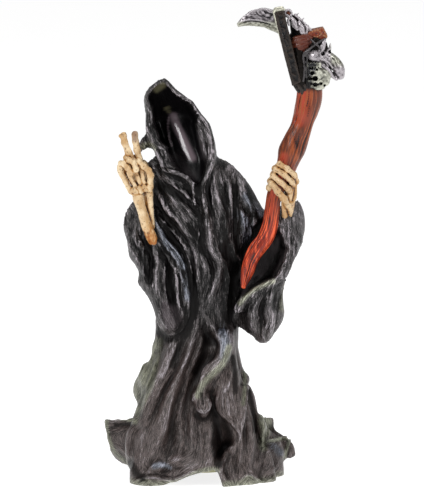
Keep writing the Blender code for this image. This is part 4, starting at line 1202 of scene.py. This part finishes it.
def scrolls(paint):
    """The scrolls and the beaded strip between the bar and the block."""
    turn = np.linspace(0, 6.283, 13)
    ring = [(84.4 + 3.4 * math.cos(a), 471.4 + 3.4 * math.sin(a), -34, 1.3) for a in turn]
    fine_piece("scrolls", tubes((
        ring,
        ((82, 470, -36, 1.2), (85.5, 467.6, -36, 1.3), (84.2, 464, -36, 1.3), (85.3, 459.5, -36, 1.0)),
        ((88, 467, -35, 1.4), (90.3, 463.5, -36, 2.4), (92, 459.5, -36, 2.3), (94.2, 456, -35, 1.2)),
        ((88.5, 463, -36, 0.9), (89.6, 458.6, -36, 1.0), (93.5, 455, -36, 0.9)),
        ((95, 463, -34, 1.2), (97, 459.5, -35, 2.4), (98.8, 455, -35, 2.5), (100.6, 450, -34, 1.3)),
        ((95.2, 457.5, -36, 0.9), (97.4, 452.2, -36, 1.0), (100, 449.6, -35, 0.9)),
        ((101.5, 459.5, -33, 1.3), (102.5, 455.5, -33, 1.6), (103, 451.5, -33, 1.2)),
        *(((x, up, -32, 1.5), (x + 0.8, up - 1.2, -32, 1.3)) for x, up in (
            (91.4, 470), (94.6, 467.4), (97.4, 464.6), (100.4, 461.8), (103.6, 459), (106.2, 456))),
        ((93.6, 470.5, -31, 0.9), (95, 471.8, -31, 0.5)),
        ((99, 465.8, -31, 0.9), (100.4, 467, -31, 0.5)),
    )), paint)


def head_core(paint):
    """The dark mass that joins the pieces of the head: near-black with almost no shine, as painted shade in
    the hollows between them.
    """
    fine_piece("head_core", tubes((
        ((84, 471.4, -30, 2.6), (87, 468, -29, 3.2), (93, 461, -27, 6), (98, 452, -27, 7),
         (101, 444, -28, 7)),
        ((88, 462, -27, 2), (92, 452, -27, 5), (95, 446, -27, 6)),
        ((92, 446, -27, 8), (98, 436, -28, 9), (102, 428, -28, 9)),
        ((94, 440, -32, 6), (96.5, 425, -34, 7), (98, 408, -35, 6.6), (99, 400, -35, 6)),
        ((106, 423, -33, 7), (106, 410, -33, 7.5), (106, 402, -32, 7)),
        ((112, 444, -31, 6), (118, 441, -31, 5), (119, 434, -31, 6)),
        ((109, 442, -32, 5), (113, 438, -32, 6), (114, 432, -32, 6)),
    )), paint)


def cross_wood():
    """Splinters of wood bound in under the bar."""
    fine_piece("cross_wood", tubes((
        ((90, 446.5, -35, 2), (98, 448.2, -36, 2.4), (104, 449, -35, 2)),
        ((89.5, 443, -35, 2.4), (98, 444.6, -37, 2.8), (106, 446.5, -35, 2.4)),
        ((90, 439, -35, 2.4), (97, 440.4, -37, 2.8), (106, 442.5, -35, 2.2)),
        ((91, 435, -35, 2.2), (97, 436.4, -36.5, 2.6), (103, 438.5, -36, 2)),
        ((93, 431.5, -35, 1.8), (97, 432.6, -36, 2), (101, 434, -36, 1.6)),
        ((84, 471.6, -33, 2.2), (85.2, 471.4, -33, 2.2)),
    )), wood_paint("cross_wood_paint", dull=0.7))


def block():
    """The carved wooden block at the top, with gilt ridges."""
    fine_piece("block", slabs(BLOCK, fine=20), wood_paint("block_paint", dull=0.3), folds=(
        (((108.5, 453.6), (114.3, 454.6), (117.2, 450.8), (114.3, 448.4), (110.8, 448)), 1.0, 1.3, 0),
        (((119.6, 449.6), (123.3, 447.6)), 1.0, 1.2, 0),
        (((110.5, 455.6), (119, 457.6)), 0.9, 1.0, 0),
        (((119.2, 457), (121.5, 452), (123.6, 448)), 0.9, 1.0, 0),
        (((111, 451.5), (113.6, 451)), 1.1, -1.4, 0),
        (((118.6, 454), (120, 452)), 1.2, -1.2, 0),
        (((105.5, 450.6), (109, 448), (113, 446)), 1.1, -1.2, 0),
    ), gilt=True)


def straps(paint):
    """Straps from the block down beside the claw."""
    fine_piece("straps", tubes((
        ((122, 446.6, -37, 0.9), (118.6, 445, -38, 1.1), (111.5, 440.4, -40, 1.2),
         (105, 435.6, -41, 1.3), (100.9, 432.3, -41, 1.6), (99.4, 428, -41, 1.4),
         (100.6, 421, -41, 1.3), (100.6, 412, -41, 1.3), (99.5, 404.5, -41, 1.2)),
        ((107, 445.6, -38, 0.9), (111, 441.5, -41, 1.1), (115, 438, -40, 1.1), (118, 432, -39, 1.0)),
        ((108.8, 438.4, -42, 0.8), (104, 433.6, -42, 0.9), (102, 429, -42, 0.8)),
        ((103.4, 428, -41, 0.9), (103, 419, -41, 0.9), (103, 408, -41, 0.9)),
    )), paint)


def beast_skull(paint):
    """A beast skull in profile, with horn, jaw and teeth line."""
    fine_piece("beast_skull", tubes((
        ((107, 429, -36, 4.8), (110, 429, -37, 6.6), (115, 428, -37, 6.3)),
        ((115, 428, -37, 6.3), (123, 427.6, -35, 6.6), (129.6, 423.4, -33, 6.4), (134.4, 417, -32, 6.2),
         (136, 410.6, -31, 4.9)),
        ((114, 423, -38, 2.4), (120, 419.5, -38, 2.7), (125, 414.5, -37, 2.5), (129, 409.5, -36, 2.3),
         (132.5, 406.6, -35, 1.9)),
        ((114.5, 427.5, -42, 1.6), (119, 426, -42, 2), (123, 423, -40, 1.8), (128, 418, -38, 1.4)),
        ((116, 432, -37, 3), (118.4, 438, -38, 2.8), (120.2, 443, -38, 2), (121, 446, -37, 1)),
        ((124.4, 433.6, -34, 2.6), (126, 438, -33, 1.4), (126.3, 442, -33, 0.6)),
    )), paint, pits=((119, 431.4, 1.7, 4), (126, 433.6, 1.5, 3)), folds=(
        (((119, 424), (124, 421), (127.4, 416), (130.6, 410), (133.4, 407)), 1.2, -2.6, 0),
        (((128, 428), (131, 424), (133, 418)), 1.2, -1.0, 0),
        (((104, 425), (109, 423.4), (114, 422.6)), 1.2, -1.4, 0),
        (((117, 444), (118, 438), (116.5, 433)), 0.9, -1.4, 0),
        (((121, 434), (123, 430), (126, 428)), 1.0, -1.0, 0),
    ), tint=lambda places: eased((places[:, 0] - 124) / 6) * eased((places[:, 1] - 416) / 8))


def small_skull(paint):
    """The small skull below it, with its eyes, nose and a row of teeth."""
    teeth = [((104.2 + 2.9 * k, 421.6, -44, 1.4), (104.4 + 2.9 * k, 418.4, -44.5, 1.1)) for k in range(5)]
    fine_piece("small_skull", tubes((
        ((116, 411, -38, 7), (120, 410, -37, 7), (120.6, 404.6, -37, 5.6)),
        ((107, 414.4, -41, 3.2), (112, 413.6, -42, 4.4), (115.5, 411, -42, 4.8)),
        ((106, 409.6, -43, 2.0), (111, 409.8, -44.4, 2.4), (115.6, 408.5, -44, 2)),
        ((105.4, 404.6, -42, 1.8), (110, 403.8, -43.4, 2.2), (116.4, 404.4, -43, 2.2)),
        ((108.5, 399.4, -42, 2.2), (113, 397.8, -42.5, 2.4), (118.4, 398.6, -41, 2.6)),
        ((104.4, 417, -42, 1.4), (105.6, 411.6, -43, 1.4)),
        *teeth,
    )), paint, tint=lambda places: eased((117 - places[:, 0]) / 9), pits=(
        (111.4, 406.9, 2.0, 6), (111.4, 400.9, 1.7, 5), (105, 407, 1.4, 4), (116.8, 402.2, 1.2, 4),
        (108.4, 412.2, 1.4, 4),
        (120.5, 400, 1.1, 3), (113, 415.4, 1.1, 4),
    ))


def claw(paint):
    """The claw that grips the top of the staff."""
    fine_piece("claw", tubes((
        ((91, 404, -34, 3.2), (95, 401, -37, 3.6), (98, 396, -38, 3), (99, 391, -38, 1.2)),
        ((97, 406, -36, 3), (100, 401, -38, 3), (102, 396, -38, 2.4)),
        ((91, 402, -35, 2.4), (93, 397, -37, 1.8), (95, 393, -37, 0.8)),
        ((101, 402, -37, 2.2), (104, 398, -37, 1.6), (105, 394, -37, 0.8)),
    )), paint)


def scythe_head():
    """The carved head: blade, bar, scrolls, block, straps and two skulls."""
    silver = silver_paint("silver_paint", (0.125, 0.11, 0.12), (0.41, 0.38, 0.40))
    # pale silver for the bar's caps, and painted highlight on its edge strips
    pale = silver_paint("pale_silver_and_highlight_paint", (0.22, 0.22, 0.17), (0.54, 0.53, 0.43))
    # The small skull's paint is darker towards the viewer's left
    ivory = silver_paint("skull_paint", (0.16, 0.16, 0.13), (0.50, 0.50, 0.42), metal=0.1, tint_darkening=3.4)
    dark = silver_paint("dark_bar_paint", (0.006, 0.005, 0.005), (0.030, 0.022, 0.018), metal=0, shine=0.25)
    # near-black, almost without shine: painted shade for the head's hollows
    black = silver_paint("black_painted_shade", (0.003, 0.003, 0.003), (0.010, 0.008, 0.007), metal=0, shine=0.06)
    strap = silver_paint("strap_paint", (0.006, 0.005, 0.006), (0.050, 0.045, 0.047), metal=0.2)
    blade(silver)
    bar(dark)
    bar_cap(pale)
    scrolls(silver)
    head_core(black)
    cross_wood()
    block()
    straps(strap)
    beast_skull(silver)
    small_skull(ivory)
    claw(dark)


def placed(name, mesh, paint, node):
    """Puts a finished mesh in the scene, on the figure's body and in place of its solid."""
    mesh.materials.clear()
    mesh.materials.append(paint)
    mesh.shade_smooth()
    obj = bpy.data.objects.new(name, mesh)
    bpy.context.scene.collection.objects.link(obj)
    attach(obj, "root")
    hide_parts(node)


class Paint:
    """A node material under construction."""

    def __init__(self, name):
        self.material = bpy.data.materials.new(name)
        self.material.use_nodes = True
        self.tree = self.material.node_tree
        self.shader = self.tree.nodes["Principled BSDF"]

    def node(self, kind, inputs=(), **settings):
        made = self.tree.nodes.new(kind)
        for key, value in settings.items():
            setattr(made, key, value)
        for key, value in dict(inputs).items():
            self.feed(made.inputs[key], value)
        return made

    def feed(self, socket, value):
        if isinstance(value, bpy.types.NodeSocket):
            self.tree.links.new(value, socket)
        elif isinstance(value, tuple) and len(value) == 3 and socket.type == "RGBA":
            socket.default_value = (*value, 1)
        else:
            socket.default_value = value

    def values(self, names):
        """The numbers stored at the vertices under these names, parted by spaces."""
        found = [self.node("ShaderNodeAttribute", attribute_name=name) for name in names.split()]
        return [attribute.outputs["Fac"] for attribute in found]

    def maths(self, operation, *values):
        return self.node("ShaderNodeMath", enumerate(values), operation=operation).outputs[0]

    def ramp(self, value, low, high):
        """The value brought to 0..1 between two limits."""
        inputs = {"Value": value, "From Min": low, "From Max": high}
        return self.node("ShaderNodeMapRange", inputs, interpolation_type="SMOOTHSTEP").outputs[0]

    def mix(self, share, first, second, blend="MIX"):
        inputs = {0: share, 6: first, 7: second}
        return self.node("ShaderNodeMix", inputs, data_type="RGBA", blend_type=blend).outputs[2]

    def summed(self, start, *terms):
        """The start plus each term's value times its weight."""
        for value, weight in terms:
            start = self.maths("MULTIPLY_ADD", value, weight, start)
        return start

    def coated(self, colour, *coats):
        """The colour under further coats, each with where it lies, its strength and its tone."""
        for place, strength, tone in coats:
            colour = self.mix(self.maths("MULTIPLY", place, strength), colour, tone)
        return colour

    def noise(self, scale, stretch, detail):
        """Noise in the figure's own space, scale in cells per metre."""
        place = self.node("ShaderNodeTexCoord").outputs["Object"]
        sized = self.node("ShaderNodeMapping", {"Vector": place, "Scale": stretch}).outputs[0]
        inputs = {"Vector": sized, "Scale": scale, "Detail": detail, "Roughness": 0.55}
        return self.node("ShaderNodeTexNoise", inputs).outputs["Fac"]

    def brushed(self, scale, step, taps):
        """Noise smeared along the flow stored at the vertices, like the hairs of a dry brush."""
        place = self.node("ShaderNodeTexCoord").outputs["Object"]
        flow = self.node("ShaderNodeAttribute", attribute_name="flow").outputs["Vector"]
        total = 0.0
        for k in range(taps):
            ahead = (k - (taps - 1) / 2) * step
            shift = {0: flow, 1: (ahead,) * 3, 2: place}
            moved = self.node("ShaderNodeVectorMath", shift, operation="MULTIPLY_ADD").outputs[0]
            inputs = {"Vector": moved, "Scale": scale, "Detail": 2.0}
            total = self.maths("ADD", self.node("ShaderNodeTexNoise", inputs).outputs["Fac"], total)
        return self.maths("DIVIDE", total, float(taps))

    def bump(self, height, strength, distance):
        inputs = {"Height": height, "Strength": strength, "Distance": distance}
        return self.node("ShaderNodeBump", inputs).outputs[0]

    def finish(self, colour, roughness, normal=None, **constants):
        self.feed(self.shader.inputs["Base Color"], colour)
        self.feed(self.shader.inputs["Roughness"], roughness)
        if normal:
            self.feed(self.shader.inputs["Normal"], normal)
        for key, value in constants.items():
            self.shader.inputs[key.replace("_", " ")].default_value = value
        return self.material


def robe_paint():
    """Black resin, dry-brushed mauve grey on its crests, browner and olive towards the hem, with painted
    shade in its hollows and creases.
    """
    p = Paint("robe_paint")
    crest, swell, scratch, broad, skirt, olive, blue, pale = p.values(
        "crest swell scratch broad skirt olive blue pale")
    hood, gloss, rim, lining, shade, streak, sheen, olive_spots = p.values(
        "hood gloss rim lining shade streak sheen spots")
    threads = p.brushed(1900, 0.0004, 7)
    clouds = p.noise(90, (1, 1, 0.6), 4)
    specks = p.ramp(p.noise(1300, (1, 1, 1), 2), 0.58, 0.7)
    level = p.summed(p.maths("MULTIPLY", scratch, 0.6), (broad, 0.2), (crest, 1.15))
    level = p.maths("MULTIPLY", level, p.summed(1.0, (skirt, -0.6)))
    fibres = p.maths("SUBTRACT", threads, 0.5)
    level = p.summed(
        level,
        (fibres, p.summed(21.0, (skirt, -8.0))),
        (p.maths("MINIMUM", swell, 1.4), 0.85),
        (clouds, 3.0),
        # pale marks: partly dry-brush, partly painted highlight
        (pale, 1.2),
        # blue marks: partly painted highlight
        (blue, 0.3),
        (skirt, 0.4),
        (specks, 1.1),
        # painted shade lowers the level along the shade marks
        (shade, -2.5),
        (rim, -1.7),
    )
    level = p.maths("SUBTRACT", level, 1.8)
    dark = p.mix(skirt, (0.0045, 0.004, 0.004), (0.030, 0.022, 0.020))
    # olive: partly the paint's own olive, partly painted highlight along the hem's edge and on the skirt's
    # sides
    dark = p.mix(olive, dark, (0.030, 0.030, 0.018))
    middle = p.mix(skirt, (0.046, 0.040, 0.041), (0.080, 0.060, 0.056))
    # blue marks tint the middle and bright tones, partly as painted highlight
    middle = p.mix(blue, middle, (0.048, 0.053, 0.068))
    middle = p.mix(olive, middle, (0.155, 0.155, 0.112))
    bright = p.mix(blue, (0.30, 0.27, 0.29), (0.25, 0.265, 0.315))
    bright = p.mix(olive, bright, (0.36, 0.37, 0.29))
    colour = p.mix(p.ramp(level, -0.6, 1.3), dark, middle)
    colour = p.mix(p.ramp(level, 1.2, 3.8), colour, bright)
    colour = p.coated(colour, (lining, 0.7, (0.05, 0.036, 0.042)))
    weave = p.summed(0.5, (p.ramp(threads, 0.43, 0.58), 1.0))
    colour = p.mix(1.0, colour, weave, "MULTIPLY")
    colour = p.coated(
        colour,
        # painted shade: near-black in the concave hollows between folds
        (p.ramp(swell, -0.2, -1.7), 0.85, (0.0065, 0.0055, 0.0055)),
        # painted shade: near-black along the shade marks
        (shade, 0.7, (0.004, 0.0035, 0.0035)),
        (hood, 1.0, (0.0035, 0.003, 0.0035)),
        # painted sheen: dim grey highlights inside the hood and the sleeve
        (sheen, 0.8, (0.050, 0.042, 0.045)),
        # painted reflection inside the hood
        (streak, 0.9, (0.20, 0.155, 0.175)),
        (olive_spots, 0.8, (0.12, 0.11, 0.065)),
    )
    roughness = p.maths("MAXIMUM", p.summed(0.22, (threads, 0.3), (gloss, -0.3)), 0.07)
    height = p.summed(threads, (clouds, 0.2))
    normal = p.bump(height, p.summed(0.6, (hood, -0.55)), 0.0012)
    shine = p.summed(0.12, (p.ramp(level, -1.6, 1.6), 0.45))
    shine = p.maths("MULTIPLY", shine, p.summed(1.0, (hood, -0.8)))
    p.feed(p.shader.inputs["Specular IOR Level"], p.summed(shine, (gloss, 0.36)))
    return p.finish(colour, roughness, normal)


def bone_paint():
    """Ivory, with an amber brown wash in the joints that deepens to orange down the arm."""
    p = Paint("bone_paint")
    crest, swell, low, brown, aged = p.values("crest swell low brown aged")
    clouds = p.noise(160, (1, 1, 0.6), 4)
    specks = p.noise(700, (1, 1, 1), 2)
    wash = p.maths("MULTIPLY", crest, -0.55)
    wash = p.summed(wash, (swell, -0.85), (clouds, 3.0), (low, 1.8), (aged, 0.7))
    base = p.mix(p.ramp(clouds, 0.35, 0.65), (0.82, 0.65, 0.42), (0.54, 0.34, 0.16))
    base = p.coated(base, (aged, 0.4, (0.48, 0.28, 0.12)), (low, 0.7, (0.56, 0.28, 0.07)))
    stain = p.mix(low, (0.42, 0.20, 0.05), (0.40, 0.13, 0.02))
    colour = p.coated(
        p.mix(p.ramp(wash, 0.7, 2.4), base, stain),
        (brown, 0.8, (0.22, 0.125, 0.085)),
        (p.ramp(wash, 2.4, 3.9), 1.0, (0.07, 0.026, 0.010)),
        (p.ramp(specks, 0.61, 0.66), 0.75, (0.12, 0.05, 0.025)),
    )
    roughness = p.summed(0.28, (clouds, 0.2))
    bump = p.bump(clouds, 0.2, 0.0003)
    return p.finish(colour, roughness, bump, Specular_IOR_Level=0.35, Coat_Weight=0.1)


def wood_paint(name, dull=0.0):
    """Red brown stain with dark cracks, brighter orange red with pale grain low on the staff."""
    p = Paint(name)
    crest, grain, cracks, low, gilt, black, red = p.values("crest grain cracks low gilt black red")
    streaks = p.noise(420, (1, 1, 0.12), 5)
    clouds = p.noise(60, (1, 1, 0.5), 3)
    base = p.mix(p.ramp(clouds, 0.4, 0.6), (0.115, 0.027, 0.012), (0.24, 0.036, 0.012))
    base = p.coated(base, (low, 1.0, (0.24, 0.020, 0.008)), (red, 0.85, (0.42, 0.05, 0.02)))
    light = p.mix(low, (0.31, 0.072, 0.020), (0.92, 0.135, 0.045))
    dry = p.summed(p.maths("MULTIPLY", crest, 0.6), (grain, 0.45), (streaks, 8.0))
    colour = p.mix(p.ramp(dry, 3.8, 6.0), base, light)
    deep = p.summed(cracks, (crest, -0.6), (grain, -0.3), (streaks, -8.0))
    colour = p.mix(p.ramp(deep, -3.7, -1.8), colour, (0.022, 0.008, 0.006))
    if dull:
        colour = p.mix(dull, colour, (0.040, 0.013, 0.009))
        colour = p.coated(colour, (gilt, 0.55, (0.42, 0.24, 0.11)))
    colour = p.mix(black, colour, (0.008, 0.007, 0.007))
    roughness = p.summed(0.24, (streaks, 0.25))
    bump = p.bump(streaks, 0.3, 0.0004)
    return p.finish(colour, roughness, bump, Specular_IOR_Level=0.35, Coat_Weight=0.08)


def silver_paint(name, mid, bright, metal=0.45, tint_darkening=0.0, shine=0.5):
    """Metal paint with a black wash in the hollows; the tint part is olive, or darker where a darkening is
    given.
    """
    p = Paint(name)
    crest, swell, mark, tint = p.values("crest swell mark tint")
    grit = p.noise(450, (1, 1, 1), 4)
    if not tint_darkening:
        mid = p.mix(tint, mid, (mid[0], mid[1] * 1.12, mid[2] * 0.78))
        bright = p.mix(tint, bright, (bright[0], bright[1] * 1.08, bright[2] * 0.86))
    level = p.maths("MULTIPLY", crest, 0.6)
    level = p.summed(level, (swell, 0.8), (grit, 3.0), (mark, 0.3), (tint, -tint_darkening))
    colour = p.mix(p.ramp(level, 1.1, 3.1), mid, bright)
    colour = p.mix(p.ramp(level, 1.2, 0.0), colour, (0.006, 0.006, 0.007))
    roughness = p.summed(0.16, (grit, 0.25))
    bump = p.bump(grit, 0.3, 0.0004)
    return p.finish(colour, roughness, bump, Metallic=metal, Specular_IOR_Level=shine)


def pad_paint():
    """The pale foam pad under the hem."""
    p = Paint("pad_foam")
    grain = p.noise(900, (1, 1, 1), 3)
    colour = p.mix(grain, (0.70, 0.69, 0.42), (0.55, 0.54, 0.33))
    return p.finish(colour, p.summed(0.6, (grain, 0.2)), p.bump(grain, 0.3, 0.0003))


def floor_paint():
    """Pale paper that glows a little, so that it stays plain to its far edges."""
    p = Paint("floor_paper")
    grain = p.noise(12, (1, 1, 1), 2)
    colour = p.mix(grain, (0.50, 0.50, 0.50), (0.53, 0.53, 0.53))
    glow = {"Emission_Strength": 0.82, "Emission_Color": (1, 1, 1, 1)}
    return p.finish(colour, p.summed(0.75, (grain, 0.1)), Specular_IOR_Level=0.2, **glow)


def stage():
    """A plain pale floor, with more of it behind the figure than before it."""
    mesh = bpy.data.meshes.new("floor")
    half, ahead, behind = 8.0, 4.0, 12.0
    corners = [(-half, -ahead, 0), (half, -ahead, 0), (half, behind, 0), (-half, behind, 0)]
    mesh.from_pydata(corners, [], [(0, 1, 2, 3)])
    mesh.materials.append(floor_paint())
    floor = bpy.data.objects.new("floor", mesh)
    bpy.context.scene.collection.objects.link(floor)


def softbox(name, place, aim, size, power):
    """A soft rectangular light turned towards its aim."""
    light = bpy.data.lights.new(name, "AREA")
    light.shape = "RECTANGLE"
    light.size, light.size_y = size
    light.energy = power
    obj = bpy.data.objects.new(name, light)
    bpy.context.scene.collection.objects.link(obj)
    obj.location = place
    obj.rotation_euler = (Vector(aim) - Vector(place)).to_track_quat("-Z", "Y").to_euler()


def lights():
    """Even white surroundings and three soft boxes, brightest from the viewer's left."""
    scene = bpy.context.scene
    world = bpy.data.worlds.new("studio")
    world.use_nodes = True
    world.node_tree.nodes["Background"].inputs["Color"].default_value = (1, 1, 1, 1)
    world.node_tree.nodes["Background"].inputs["Strength"].default_value = 0.24
    scene.world = world
    scene.view_settings.view_transform = "Standard"
    middle = (0, 0, 0.16)
    softbox("key_box", (-0.75, -0.9, 0.95), middle, (0.35, 0.7), 9)
    softbox("fill_box", (0.95, -0.6, 0.7), middle, (0.3, 0.8), 5)
    softbox("top_box", (0.1, 0.1, 1.4), middle, (1.0, 1.0), 8)


def camera():
    """The photograph's view, 10 degrees down with a long lens."""
    distance, sensor = 5.0, 36
    aim = Vector(spots(np.array([*PICTURE_MIDDLE, 0.0])))
    aim = aim + VIEW * (-aim.y / COS)
    data = bpy.data.cameras.new("camera")
    data.sensor_fit = "HORIZONTAL"
    data.sensor_width = sensor
    data.lens = sensor * distance / (PICTURE_WIDTH * UNIT)
    data.clip_end = 50
    obj = bpy.data.objects.new("camera", data)
    bpy.context.scene.collection.objects.link(obj)
    obj.location = aim - VIEW * distance
    obj.rotation_euler = (math.pi / 2 - LOOK_DOWN, 0, 0)
    bpy.context.scene.camera = obj


robe()
hand("right_hand", RIGHT_FINGERS, RIGHT_PALM)
hand("left_hand", LEFT_FINGERS, LEFT_PALM, aged=1.0)
staff()
scythe_head()
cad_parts["base_pad"].material_slots[0].material = pad_paint()
stage()
lights()
camera()
